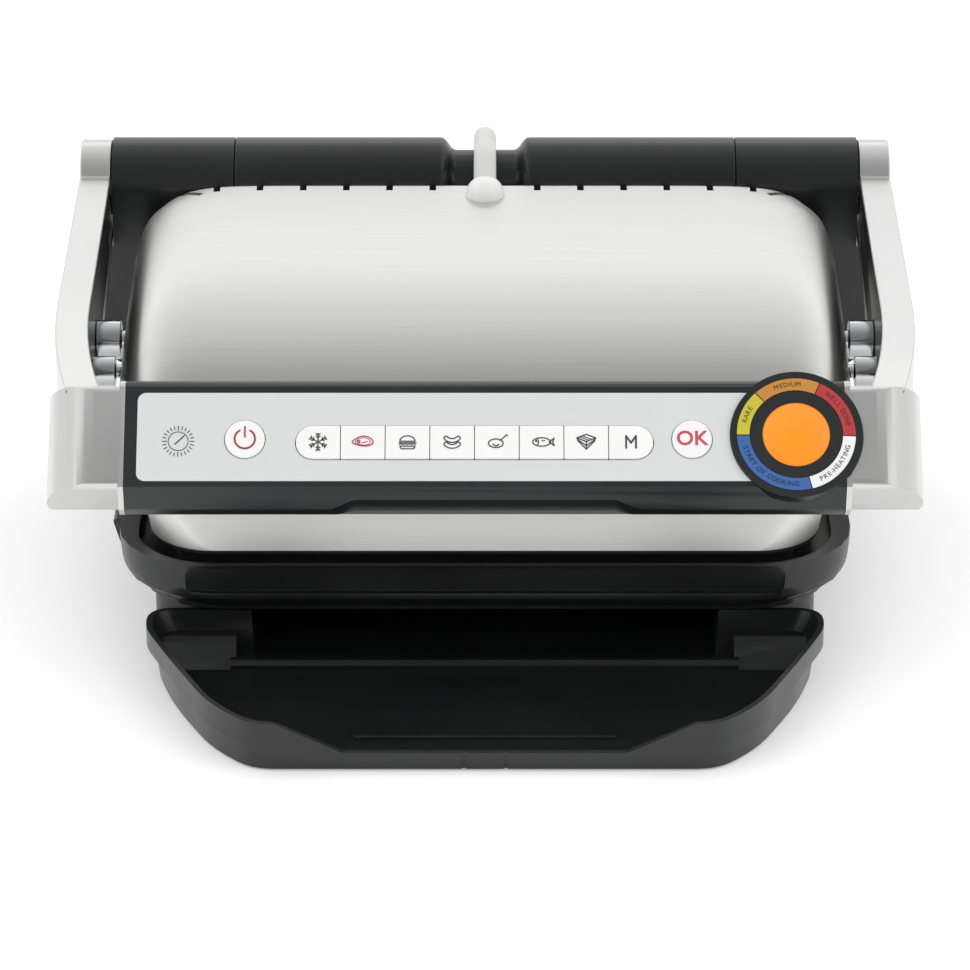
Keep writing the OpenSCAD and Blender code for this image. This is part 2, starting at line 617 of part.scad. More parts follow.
// Half section of the barrel with its waist: radius against distance from the middle
function neck(x) = let (t = (abs(x) - neck_x0) / (neck_x1 - neck_x0))
  t <= 0 ? neck_r : t >= 1 ? barrel_r : neck_r + (barrel_r - neck_r) * (1 - cos(180 * t)) / 2;
function barrel_profile(r0, x) = concat([[r0, -x], [barrel_r, -x]], [for (i = [-n_neck:n_neck])
  let (q = i / n_neck * (neck_x1 + 1)) [neck(q), q]], [[barrel_r, x], [r0, x]]);
// The cable conduit's centre line in the plane x = 0: out of the boss, over the neck, down to the socket
conduit_loop = neck_r + conduit_d / 2 + 0.8;
conduit_path = concat([[boss_y + 1.5, boss_z + 1.5], [boss_y + 8, boss_z + 7.4], [boss_y + 16, boss_z + 12.8]],
  [for (a = [112:-14:0]) [hinge_y + conduit_loop * cos(a), hinge_z + conduit_loop * sin(a)]],
  [for (i = [1:8]) [hinge_y + conduit_loop + (socket_y - hinge_y - conduit_loop) * pow(sin(min(90, 105 * i / 8)), 2),
    hinge_z + (rim_z - 4 - hinge_z) * i / 8]]);
module cable_conduit() color("#c9cac8") {
  n = len(conduit_path);
  m = 12;
  dir = [for (i = [0:n - 1]) let (d = conduit_path[min(n - 1, i + 1)] - conduit_path[max(0, i - 1)]) d / norm(d)];
  pts = [for (i = [0:n - 1]) for (j = [0:m - 1]) let (a = 360 * j / m, r = conduit_d / 2)
    [r * cos(a), conduit_path[i][0] - dir[i][1] * r * sin(a), conduit_path[i][1] + dir[i][0] * r * sin(a)]];
  polyhedron(pts, concat([[for (j = [0:m - 1]) j]], [[for (j = [0:m - 1]) n * m - 1 - j]],
    [for (i = [0:n - 2]) for (j = [0:m - 1]) for (q = [0, 1]) let (k = (j + 1) % m)
      q == 0 ? [i * m + j, i * m + m + j, i * m + k] : [i * m + m + j, i * m + m + k, i * m + k]]));
}
module conduit_boss() color("#e4e4e2") translate([0, boss_y, boss_z]) difference() {
  union() {
    translate([0, 0, -8]) cylinder(r = boss_r, h = 8);
    intersection() {
      sphere(r = boss_r);
      cylinder(r = boss_r, h = boss_r);
    }
  }
  rotate([-45, 0, 0]) translate([0, 0, 1.8]) cylinder(r = conduit_d / 2 + 0.5, h = 20);
}
// ---- Arms
// Plan of an arm between d inside its edges: straight beside the hinge, then bending in to the handle
module arm_plan(d0, d1) {
  x0 = arm_x0 + d0;
  x1 = arm_x1 - d1;
  c = arm_x1 - arm_bend_r;
  bend = [for (i = [0:8]) asin((arm_bend_y - arm_end_y) / arm_bend_r) * i / 8];
  polygon(concat([[x0, hinge_y + hub_r], [x0, arm_bend_y]],
    [for (a = bend) [c + (arm_bend_r - arm_w + d0) * cos(a), arm_bend_y - (arm_bend_r - arm_w + d0) * sin(a)]],
    [for (i = [8:-1:0]) [c + (arm_bend_r - d1) * cos(bend[i]), arm_bend_y - (arm_bend_r - d1) * sin(bend[i])]],
    [[x1, hinge_y + hub_r]]));
}
// Side view: a hub around the hinge and a bar that runs down to the handle
module arm_side(d) {
  rise = (arm_back_z - arm_front_z) / (hinge_y - arm_front_y);
  polygon([[hinge_y, arm_back_z - d], [arm_end_y - 1, arm_back_z - d - rise * (hinge_y - arm_end_y + 1)],
    [arm_end_y - 1, arm_back_z + d - arm_h - rise * (hinge_y - arm_end_y + 1)],
    [pivot_y - 18, pivot_z - pivot_drop + d + 2], [pivot_y, pivot_z - pivot_drop + d],
    [pivot_y + 14, pivot_z - pivot_drop + d + 1], [hinge_y, arm_back_z - arm_h - 8 + d]]);
}
module arm_body(d0, d1, d, hub) difference() {
  intersection() {
    translate([0, 0, rim_z]) linear_extrude(hinge_z + hub_r) arm_plan(d0, d1);
    union() {
      rotate([90, 0, 90]) linear_extrude(2 * lid_w) arm_side(d);
      xcyl(arm_x0 - 10, arm_x1 + 10, hinge_y, hinge_z, hub);
    }
  }
  xcyl(arm_x0 - 1, arm_x1 - 4, hinge_y, hinge_z, bush_r + run_gap / 2);
}
// Hollow of an arm that the black liner fills from the inner side, closed at the handle's end
module arm_hollow(d0, g) difference() {
  arm_body(d0, arm_skin + g, arm_skin + g, bush_r + 1);
  translate([0, arm_end_y - 2, 0]) cube([2 * lid_w, arm_cap + 2 + g, 2 * hinge_z]);
}
module arm() difference() {
  arm_body(0, 0, 0, hub_r);
  arm_hollow(-1, 0);
  xcyl(arm_x0 - 1, arm_x1 - 4, hinge_y, hinge_z, bush_r);
}
module arm_liner() difference() {
  arm_hollow(0.6, 0.1);
  xcyl(arm_x0 - 1, arm_x1, hinge_y, hinge_z, hub_r - 2);
  xcyl(0, arm_x1 - arm_skin - 2, pivot_y, pivot_z, journal_r + 1);
  xcyl(0, arm_x1 - arm_skin - 2, stop_y, pivot_z, journal_r + 1);
}
module left_arm() color(silver) on(-1) arm();
module right_arm() color(silver) on(1) arm();
module left_arm_liner() color(black) on(-1) arm_liner();
module right_arm_liner() color(black) on(1) arm_liner();
module hinge_bush() difference() {
  xcyl(arm_x0 + 0.1, arm_x1 - 4, hinge_y, hinge_z, bush_r);
  xcyl(arm_x0 - 1, shaft_x + 0.3, hinge_y, hinge_z, shaft_r + run_gap);
}
module left_hinge_bush() color("#d8d4c8") on(-1) hinge_bush();
module right_hinge_bush() color("#d8d4c8") on(1) hinge_bush();
module pivot_pin() {
  // Collar between arm and lid, journal in the housing's ear, spigot in the arm
  xcyl(lid_w / 2 + lid_bulge + 0.7, liner_x - 0.1, pivot_y, pivot_z, pivot_d / 2);
  xcyl(ear_x - 2, lid_w / 2 + lid_bulge + 1, pivot_y, pivot_z, journal_r);
  xcyl(liner_x - 1, arm_x1 - arm_skin - 2.2, pivot_y, pivot_z, journal_r + 0.95);
}
module stop_pin() {
  xcyl(lid_w / 2 + lid_bulge + 0.7, liner_x - 0.9, stop_y, pivot_z, stop_d / 2);
  xcyl(ear_x + 1, lid_w / 2 + lid_bulge + 1, stop_y, pivot_z, stop_tip);
  xcyl(liner_x - 1, arm_x1 - arm_skin - 3.2, stop_y, pivot_z, journal_r + 0.95);
}
module left_pivot_pin() color("#c8c9c9") on(-1) pivot_pin();
module right_pivot_pin() color("#c8c9c9") on(1) pivot_pin();
module left_stop_pin() color("#c8c9c9") on(-1) stop_pin();
module right_stop_pin() color("#c8c9c9") on(1) stop_pin();
// ---- Handle, in the control face's frame
h2 = face_h / 2;
handle_section = concat([[-h2, 0], [h2 - 1, 0]], arc(h2 - 2, -5, 5, 75, 0, 4), [[h2 + 0.5, -11]],
  arc(h2 - 12, -11, 10, -10, -70, 4), [[0, -21.5], [-12, -22]], arc(-22, -15, 7, -100, -170, 4),
  [[-h2 - 6.3, -10.2]]);
module extrude_x(w) rotate([90, 0, 90]) linear_extrude(w, center = true) children();
module extrude_y(h) rotate([90, 0, 0]) linear_extrude(h, center = true) children();
// Plan of the handle: a long face whose ends turn back towards the arms and round off at their back edge
module handle_plan(d) {
  w = handle_w / 2 - d;
  r = end_r - d;
  e = end_edge - d;
  back = -end_depth - 0.6 + end_edge;
  polygon(concat(arc(-w + e, back, e, 270, 180), arc(-w + r, -d - r, r, 180, 90),
    arc(w - r, -d - r, r, 90, 0), arc(w - e, back, e, 0, -90)));
}
module handle_block(d) intersection() {
  union() {
    extrude_x(bezel_w + 2 * frame_t) offset_section(d);
    // Curved ends, as deep as their bend
    for (side = [-1, 1]) on(side) slab_x(bezel_w / 2 + d, handle_w / 2, -h2 + d, -end_depth + d, h2 - d, -d, 3.5 - d);
  }
  extrude_y(4 * face_h) handle_plan(d);
}
module offset_section(d) polygon([for (p = handle_section) let (c = [-2, -10]) c + (p - c) * (1 - d / 11)]);
// The space of the bezel, g larger all round: its face, and the lip that runs on under the handle's ends
module bezel_space(g) {
  translate([-bezel_w / 2 - g, -h2 - 20, -bezel_t + 0.1 - g / 2]) cube([bezel_w + 2 * g, face_h + 40, 20]);
  translate([-bezel_w / 2 - g, -h2 - 20, -lip_depth]) cube([bezel_w + 2 * g, 18.6 + g, lip_depth + 1]);
}
// The lip of the bezel with the shallow arch cut out of its middle
module lip_cut() linear_extrude(60, center = true) polygon([[-66, -h2 - 20], [-66, -h2 - 7], [-54, -h2 - 3.6],
  [54, -h2 - 3.6], [66, -h2 - 7], [66, -h2 - 20]]);
module handle_frame() color(silver) difference() {
  face() difference() {
    handle_block(0);
    bezel_space(0.2);
    dial_disc(dial_r + 0.2, -bezel_t, 5);
    // Cavity for the control board
    intersection() {
      handle_block(frame_t);
      translate([-board_w / 2, -h2 + 3, -bezel_t - 13]) cube([board_w, face_h - 8, 20]);
    }
    // Hollow of the curved ends
    for (side = [-1, 1]) on(side) intersection() {
      extrude_y(4 * face_h) handle_plan(frame_t);
      translate([bezel_w / 2 + frame_t, -h2 + frame_t, -end_depth + frame_t])
        cube([handle_w / 2, face_h - 2 * frame_t, end_depth]);
    }
    for (x = [-1, 0, 1]) translate([x * panel_screw_x, 0, -40]) cylinder(r = screw_r + run_gap, h = 30);
  }
  for (side = [-1, 1]) on(side) arm_body(-0.1, -0.1, -0.1, hub_r);
}
module dial_disc(r, z0, z1) translate([dial_x, 0, z0]) cylinder(r = r, h = z1 - z0, $fn = 96);
module keys_window(g, z0, z1) translate([0, 0, z0]) linear_extrude(z1 - z0) rrect(key_x - 4 * key_pitch - g,
  key_y - key_h / 2 - g, key_x + 4 * key_pitch + g, key_y + key_h / 2 + g, key_h / 2 + g - eps);
module button_hole(x, g, z0, z1) translate([x, button_y, z0]) cylinder(r = button_r + g, h = z1 - z0);
module openings(z0, z1) {
  keys_window(key_gap, z0, z1);
  button_hole(power_x, key_gap, z0, z1);
  button_hole(ok_x, key_gap, z0, z1);
}
module fascia_plan(g) difference() {
  rrect(fascia_x0 - g, -fascia_h / 2 - g - 0.6, dial_x - 14, fascia_h / 2 + g - 0.6, 3.5);
  translate([dial_x, 0]) circle(r = dial_r - 0.3 - g, $fn = 96);
}
module control_bezel() color(grey) face() difference() {
  union() {
    intersection() {
      handle_block(0.05);
      bezel_space(0);
    }
    dial_disc(dial_r, -bezel_t + 0.2, 1.4);
  }
  lip_cut();
  translate([0, 0, -fascia_t - 0.1]) linear_extrude(5) fascia_plan(0.15);
  openings(-bezel_t - 1, 1);
  // Seat of the colour ring and the lens
  translate([dial_x, 0, 0.4]) difference() {
    cylinder(r = ring_ro + 0.1, h = 3, $fn = 96);
    translate([0, 0, -1]) cylinder(r = ring_ri - 0.1, h = 5, $fn = 96);
  }
  dial_disc(lens_r + 0.1, -bezel_t - 1, 3);
}
module control_panel() color("#e4e6e6") face() difference() {
  translate([0, 0, -fascia_t]) linear_extrude(fascia_t) fascia_plan(0);
  openings(-3, 3);
}
module indicator_ring() color("#c98a3a") face() difference() {
  dial_disc(ring_ro, 0.5, 1.5);
  dial_disc(ring_ri, 0, 3);
}
module indicator_lens() color("#ef8a17") face() {
  dial_disc(lens_r, -bezel_t + 0.4, 1);
  translate([dial_x, 0, 1]) intersection() {
    translate([0, 0, 2.2 - lens_sphere]) sphere(r = lens_sphere, $fn = 64);
    cylinder(r = lens_r, h = 4);
  }
}
module control_board() color("#2e6b3c") face() {
  translate([-board_w / 2 + 1, -h2 + 4, -bezel_t - 4.2]) cube([board_w - 2, face_h - 10, 1.6]);
  for (x = [-0.42, 0.12, 0.42]) translate([x * board_w - 8, -4, -bezel_t - 8]) cube([16, 12, 4]);
  for (x = concat([power_x, ok_x], [for (i = [-3.5:3.5]) key_x + i * key_pitch]))
    translate([x, key_y, -bezel_t - 3]) cylinder(r = 2.5, h = 3 - key_travel - 0.3 + 0.1);
}
module panel_screws() color("#7d7f80") face() for (x = [-1, 0, 1]) translate([x * panel_screw_x, 0, 0]) {
  translate([0, 0, -bezel_t - 13.4]) cylinder(r = screw_r, h = 4);
}
// A cap that stands out of the fascia, with a wider foot that keeps it in
module cap(x, w) {
  translate([x, button_y, -bezel_t + 0.3]) cylinder(r = w, h = bezel_t - 0.3 + key_proud);
}
module power_button() color("#f4f4f3") face() cap(power_x, button_r);
module ok_button() color("#f4f4f3") face() cap(ok_x, button_r);
module key(i) color("#f4f4f3") face() intersection() {
  keys_window(0, -bezel_t + 0.3, key_proud);
  translate([key_x + (i - 4) * key_pitch + key_gap / 2, key_y - key_h, -10]) cube([key_pitch - key_gap, 2 * key_h, 20]);
}
module key_frozen() key(0);
module key_steak() key(1);
module key_burger() key(2);
module key_sausage() key(3);
module key_poultry() key(4);
module key_fish() key(5);
module key_sandwich() key(6);
module key_manual() key(7);
// ---- Drip tray
// An outline whose corner i is rounded over the length r[i] of both its sides
function rounded(p, r, n = 5) = let (m = len(p)) [for (i = [0:m - 1]) let (a = p[(i + m - 1) % m] - p[i],
  b = p[(i + 1) % m] - p[i], u = a / norm(a), v = b / norm(b), e = r[i] > 0 ? n : 1)
  for (k = [0:r[i] > 0 ? n : 0]) let (t = k / e) p[i] + r[i] * (1 - t) * (1 - t) * u + r[i] * t * t * v];
// Plan of the tray, moved in by d; wing is how far its wings stand out past the lower wall
function tray_half(d, x) = [[tray_front_w / 2 + 3 - 0.6 * d, tray_y0 + d],
  [tray_front_w / 2 + 21 - d, tray_y0 + 19.5 + 0.4 * d], [tray_w / 2 - 11 - d, wing_y - 48], [x, wing_y - 20],
  [x, wing_y - d], [tongue_b - d, wing_y - d], [tongue_b - d, tray_y1 - d]];
function tray_plan(d, wing) = let (p = tray_half(d, tray_w / 2 - wing_step + wing - d))
  rounded(concat(p, [for (i = [6:-1:0]) [-p[i][0], p[i][1]]]),
    [9, 14, 18, 7, 12 - d, 0, 0, 0, 0, 12 - d, 7, 18, 14, 9]);
// A solid between two outlines with as many points each
module loft(a, za, b, zb) {
  n = len(a);
  polyhedron(concat([for (p = a) [p[0], p[1], za]], [for (p = b) [p[0], p[1], zb]]),
    concat([[for (i = [0:n - 1]) i]], [[for (i = [0:n - 1]) 2 * n - 1 - i]],
      [for (i = [0:n - 1]) for (q = [0, 1]) let (k = (i + 1) % n) q == 0 ? [i, n + i, k] : [n + i, n + k, k]]));
}
// A bar along x from -w to w with the outline p in the plane of y and z
module bar_x(w, p) rotate([90, 0, 90]) linear_extrude(2 * w, center = true) polygon(p);
module drip_tray() color("#3b3c3d") difference() {
  union() {
    // Lower wall, and the band round the rim that stands out at the wings
    loft(tray_plan(wall_lean, 0), tray_z0, tray_plan(0, 0), band_z);
    loft(tray_plan(0, 0), band_z, tray_plan(0, wing_step), band_z + 2);
    loft(tray_plan(0, wing_step), band_z + 2, tray_plan(0, wing_step), tray_rim_z);
    // Flanges that hang on the rails
    for (side = [-1, 1]) on(side) translate([tongue_b - 0.5, wing_y - 1, tray_rim_z - flange_t])
      cube([flange_w + 0.5, tray_y1 - wing_y + 1, flange_t]);
  }
  difference() {
    union() {
      loft(tray_plan(tray_wall + wall_lean, 0), tray_floor, tray_plan(tray_wall + 0.4, 0), band_z + 2);
      loft(tray_plan(tray_wall + 0.4, 0), band_z + 2, tray_plan(tray_wall, wing_step), tray_rim_z + 1);
    }
    // Ramp behind the front wall with a raised line on it
    bar_x(2 * tray_w, [[tray_y0 - 1, 0], [tray_y0 - 1, lip_z - 0.6], [tray_y0 + 4, lip_z - 0.6],
      [ramp_y, tray_floor], [ramp_y, 0]]);
    bar_x(line_w / 2, [[tray_y0 + 16.6, 0], [tray_y0 + 17, lip_z - 1.4], [tray_y0 + 18.6, lip_z - 1.4],
      [tray_y0 + 19.4, 0]]);
    // Ridge in front of the tongue, and the raised floors of the wings
    bar_x(wing_x0 + 2, [[wing_y - 22, 0], [wing_y - 22, 5], [wing_y - 20, ridge_z], [wing_y - 17, ridge_z],
      [wing_y - 14, 5], [wing_y - 13, 0]]);
    for (side = [-1, 1]) on(side) translate([wing_x0 + tray_w / 2, 0, 0])
      bar_x(tray_w / 2, [[wing_y - 22, 0], [wing_y - 22, tray_floor], [wing_y - 10, 11.6], [wing_y - 9, wing_z],
        [wing_y + 1, wing_z], [wing_y + 1, 0]]);
  }
  // Low middle of the front wall
  translate([0, tray_y0 + 10, 0]) rotate([90, 0, 0]) linear_extrude(20) polygon([[-58, lip_z],
    [-86, tray_rim_z], [-86, 60], [86, 60], [86, tray_rim_z], [58, lip_z]]);
  // Grooves beside the finger tab
  for (x = [-1, 1]) translate([x * tab_x, 0, 0]) bar_x(0.8, [[tray_y0 - 1, 0],
    [tray_y0 + wall_lean + 0.9, 0], [tray_y0 + 0.9, band_z], [tray_y0 + 0.9, 30], [tray_y0 - 1, 30]]);
}
// ---- Plate release buttons on the left side
module release(x, z, h, reach) color("#242526") translate([0, release_y + release_l / 2, 0]) rotate([90, 0, 0])
  linear_extrude(release_l) polygon(rounded([[x, z + h], [x + release_slant, z], [x + reach, z],
    [x + reach, z + h]], [2, 2, 0, 0]));
// A slab with rounded corners across the front, w wide, h high and t deep
module slab_y(w, h, t, r) rotate([90, 0, 0]) linear_extrude(t, center = true) rrect(-w / 2, -h / 2, w / 2, h / 2, r);
module slab_x(x0, x1, y0, z0, y1, z1, r) translate([x0, 0, 0]) rotate([90, 0, 90]) linear_extrude(x1 - x0)
  rrect(y0, z0, y1, z1, r);
module lower_release_button() release(-base_w / 2 - release_out + 2, lower_rel_z, lower_release_h,
  lower_reach);
module upper_release_button() release(-lid_w / 2 - release_out - 2, upper_rel_z, release_h,
  upper_reach);

base_shell();
base_bottom_cover();
left_hinge_tower();
right_hinge_tower();
barrel_cover();
hinge_shaft();
lower_plate();
lower_heater();
lower_reflector();
lower_thermostat();
power_board();
feet();
base_screws();
cord_gland();
conduit_socket();
drip_tray();
lower_release_button();
upper_release_button();
left_arm();
right_arm();
left_arm_liner();
right_arm_liner();
left_hinge_bush();
right_hinge_bush();
left_pivot_pin();
right_pivot_pin();
left_stop_pin();
right_stop_pin();
handle_frame();
control_bezel();
control_panel();
indicator_ring();
indicator_lens();
control_board();
panel_screws();
power_button();
ok_button();
key_frozen();
key_steak();
key_burger();
key_sausage();
key_poultry();
key_fish();
key_sandwich();
key_manual();
lid_cover();
lid_housing();
upper_plate();
upper_heater();
upper_reflector();
upper_thermostat();
housing_screws();
conduit_boss();
cable_conduit();
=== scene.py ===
import json
import math

import bmesh
import bpy
import numpy as np
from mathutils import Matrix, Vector


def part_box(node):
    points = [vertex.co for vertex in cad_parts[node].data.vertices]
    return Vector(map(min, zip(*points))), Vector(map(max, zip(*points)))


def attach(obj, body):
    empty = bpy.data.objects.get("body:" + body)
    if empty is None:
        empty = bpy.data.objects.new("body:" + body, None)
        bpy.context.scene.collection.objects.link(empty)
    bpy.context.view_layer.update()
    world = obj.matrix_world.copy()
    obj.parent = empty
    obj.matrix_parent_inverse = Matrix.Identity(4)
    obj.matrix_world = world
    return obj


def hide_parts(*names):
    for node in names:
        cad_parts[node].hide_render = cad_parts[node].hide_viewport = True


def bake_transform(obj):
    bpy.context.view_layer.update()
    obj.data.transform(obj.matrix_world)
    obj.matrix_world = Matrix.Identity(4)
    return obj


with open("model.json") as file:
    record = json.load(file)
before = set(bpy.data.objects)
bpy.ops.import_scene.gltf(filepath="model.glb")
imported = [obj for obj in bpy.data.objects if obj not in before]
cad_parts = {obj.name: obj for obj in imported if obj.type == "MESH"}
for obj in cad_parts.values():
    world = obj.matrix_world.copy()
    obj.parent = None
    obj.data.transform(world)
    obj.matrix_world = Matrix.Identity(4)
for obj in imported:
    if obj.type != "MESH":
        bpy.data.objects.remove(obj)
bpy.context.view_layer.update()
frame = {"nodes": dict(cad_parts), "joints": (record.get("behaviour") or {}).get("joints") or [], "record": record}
nodes = frame["nodes"]
joints = {j["name"]: j for j in frame["joints"]}
scene = bpy.context.scene
scene.view_settings.view_transform = "Standard"

# camera: a long lens, 24 degrees above the worktop
cameraSet = {"place": (0.0, -1.9453, 0.9175), "pitch": 24.0, "lens": 181.0, "sensor": 36.0}


def addCamera(c):
    data = bpy.data.cameras.new("camera")
    data.lens = c["lens"]
    data.sensor_width = c["sensor"]
    data.clip_end = 20
    cam = bpy.data.objects.new("camera", data)
    scene.collection.objects.link(cam)
    cam.location = c["place"]
    cam.rotation_euler = (math.radians(90 - c["pitch"]), 0, 0)
    scene.camera = cam


addCamera(cameraSet)
print("camera set")


# small tools
def linear(hexColour):
    # sRGB hex to linear RGBA
    v = np.array([int(hexColour[i:i + 2], 16) for i in (1, 3, 5)]) / 255
    v = np.where(v <= 0.04045, v / 12.92, ((v + 0.055) / 1.055) ** 2.4)
    return (*[float(x) for x in v], 1.0)


def addNode(mat, kind, links=None, **settings):
    # a node with its settings, inputs by name, and links given as {input: output socket}
    node = mat.node_tree.nodes.new(kind)
    for key, value in settings.items():
        if hasattr(node, key):
            setattr(node, key, value)
        else:
            node.inputs[key.replace("_", " ")].default_value = value
    for key, socket in (links or {}).items():
        mat.node_tree.links.new(socket, node.inputs[key])
    return node


def newMaterial(name, colour, **shader):
    mat = bpy.data.materials.new(name)
    mat.use_nodes = True
    bsdf = mat.node_tree.nodes["Principled BSDF"]
    bsdf.inputs["Base Color"].default_value = linear(colour)
    for key, value in shader.items():
        bsdf.inputs[key.replace("_", " ")].default_value = value
    return mat, bsdf


def ramp(mat, fac, stops):
    # a colour ramp from (position, hex) stops
    node = addNode(mat, "ShaderNodeValToRGB", {"Fac": fac})
    band = node.color_ramp
    while len(band.elements) < len(stops):
        band.elements.new(0.5)
    for element, (position, colour) in zip(band.elements, stops):
        element.position = position
        element.color = linear(colour)
    return node.outputs["Color"]


def objectNoise(mat, scale, detail=2.0, stretch=(1, 1, 1), rough=0.5):
    # noise in object space; scale is in cells per metre, stretch thins it along an axis
    place = addNode(mat, "ShaderNodeTexCoord").outputs["Object"]
    moved = addNode(mat, "ShaderNodeMapping", {"Vector": place})
    moved.inputs["Scale"].default_value = stretch
    noise = addNode(mat, "ShaderNodeTexNoise", {"Vector": moved.outputs["Vector"]},
                    Scale=scale, Detail=detail, Roughness=rough)
    return noise.outputs["Fac"]


def addBump(mat, bsdf, height, strength, distance):
    bump = addNode(mat, "ShaderNodeBump", {"Height": height}, Strength=strength, Distance=distance)
    mat.node_tree.links.new(bump.outputs["Normal"], bsdf.inputs["Normal"])


def varied(mat, bsdf, fac, low, high, socket="Base Color"):
    mat.node_tree.links.new(ramp(mat, fac, [(0.3, low), (0.7, high)]), bsdf.inputs[socket])


def roughBetween(mat, bsdf, fac, low, high):
    span = addNode(mat, "ShaderNodeMapRange", {"Value": fac}, To_Min=low, To_Max=high)
    mat.node_tree.links.new(span.outputs["Result"], bsdf.inputs["Roughness"])


# materials, each named for the real one and how its surface was made
def mouldedPbt(name, colour, lift, rough, shine=0.5):
    # glass-filled PBT, spark-eroded mould: an even grain that dulls highlights, drawn about 0.5 mm
    # across, coarser than the real one, so that it shows
    mat, bsdf = newMaterial(name, colour, Roughness=rough, Specular_IOR_Level=shine)
    grain = objectNoise(mat, 1900, 3)
    cloud = objectNoise(mat, 14, 2)
    varied(mat, bsdf, cloud, colour, lift)
    roughBetween(mat, bsdf, cloud, rough - 0.05, rough + 0.06)
    addBump(mat, bsdf, grain, 0.12, 0.0002)
    return mat


def brushedSteel(name, colour, lift, rough=0.34):
    # stainless sheet brushed side to side: hair lines along X that stretch the highlights, drawn
    # about 0.7 mm apart, coarser than the real ones, so that they show
    mat, bsdf = newMaterial(name, colour, Metallic=1.0, Roughness=rough, Anisotropic=0.5)
    across = addNode(mat, "ShaderNodeTangent", direction_type="RADIAL", axis="X")
    mat.node_tree.links.new(across.outputs[0], bsdf.inputs["Tangent"])
    hair = objectNoise(mat, 1, 4, (14, 1500, 1500), 0.6)
    wide = objectNoise(mat, 1, 3, (5, 160, 160))
    both = addNode(mat, "ShaderNodeMix", {2: hair, 3: wide})
    both.inputs[0].default_value = 0.25
    varied(mat, bsdf, both.outputs[0], colour, lift)
    roughBetween(mat, bsdf, both.outputs[0], rough - 0.06, rough + 0.06)
    addBump(mat, bsdf, hair, 0.10, 0.0001)
    return mat


def satinSilver(name, colour, lift, rough=0.3, metal=0.75):
    # zinc die casting with a satin silver coat: faint orange peel about 2.4 mm across, soft highlights
    mat, bsdf = newMaterial(name, colour, Metallic=metal, Roughness=rough)
    peel = objectNoise(mat, 420, 2)
    cloud = objectNoise(mat, 9, 2)
    varied(mat, bsdf, cloud, colour, lift)
    roughBetween(mat, bsdf, peel, rough - 0.02, rough + 0.03)
    addBump(mat, bsdf, peel, 0.008, 0.0001)
    return mat


def polishedChrome(name, colour, rough=0.09):
    # turned steel pin, chromed: turning marks round X every 0.6 mm
    mat, bsdf = newMaterial(name, colour, Metallic=1.0, Roughness=rough)
    turn = objectNoise(mat, 1, 2, (1700, 30, 30))
    roughBetween(mat, bsdf, turn, rough, rough + 0.1)
    addBump(mat, bsdf, turn, 0.05, 0.0001)
    return mat


def nonstickCast(name, colour, lift):
    # die-cast aluminium under a sprayed non-stick coat: speckle of about 0.8 mm, low sheen
    mat, bsdf = newMaterial(name, colour, Roughness=0.42, IOR=1.45)
    speck = objectNoise(mat, 1300, 3)
    varied(mat, bsdf, speck, colour, lift)
    roughBetween(mat, bsdf, speck, 0.34, 0.5)
    addBump(mat, bsdf, speck, 0.18, 0.0002)
    return mat


def plainMetal(name, colour, rough, scale=300, metal=1.0):
    # rolled or plated sheet and screws: slight cloudiness, scale clouds a metre, 3 to 17 mm across
    mat, bsdf = newMaterial(name, colour, Metallic=metal, Roughness=rough)
    cloud = objectNoise(mat, scale, 3)
    roughBetween(mat, bsdf, cloud, rough - 0.08, rough + 0.12)
    addBump(mat, bsdf, cloud, 0.05, 0.0001)
    return mat


def glossyMoulding(name, colour, lift, rough=0.25, coat=0.0, glow=0.0):
    # polished ABS or polycarbonate moulding: even colour, flow marks about 17 mm across in the gloss
    mat, bsdf = newMaterial(name, colour, Roughness=rough, IOR=1.53, Coat_Weight=coat)
    flow = objectNoise(mat, 60, 2)
    varied(mat, bsdf, flow, colour, lift)
    roughBetween(mat, bsdf, flow, rough - 0.04, rough + 0.05)
    if glow:
        bsdf.inputs["Emission Color"].default_value = linear(colour)
        bsdf.inputs["Emission Strength"].default_value = glow
    return mat


def printedInk(name, colour):
    # pad-printed ink: flat, dull, with a grain of about 1 mm
    mat, bsdf = newMaterial(name, colour, Roughness=0.5)
    roughBetween(mat, bsdf, objectNoise(mat, 900, 2), 0.42, 0.6)
    return mat


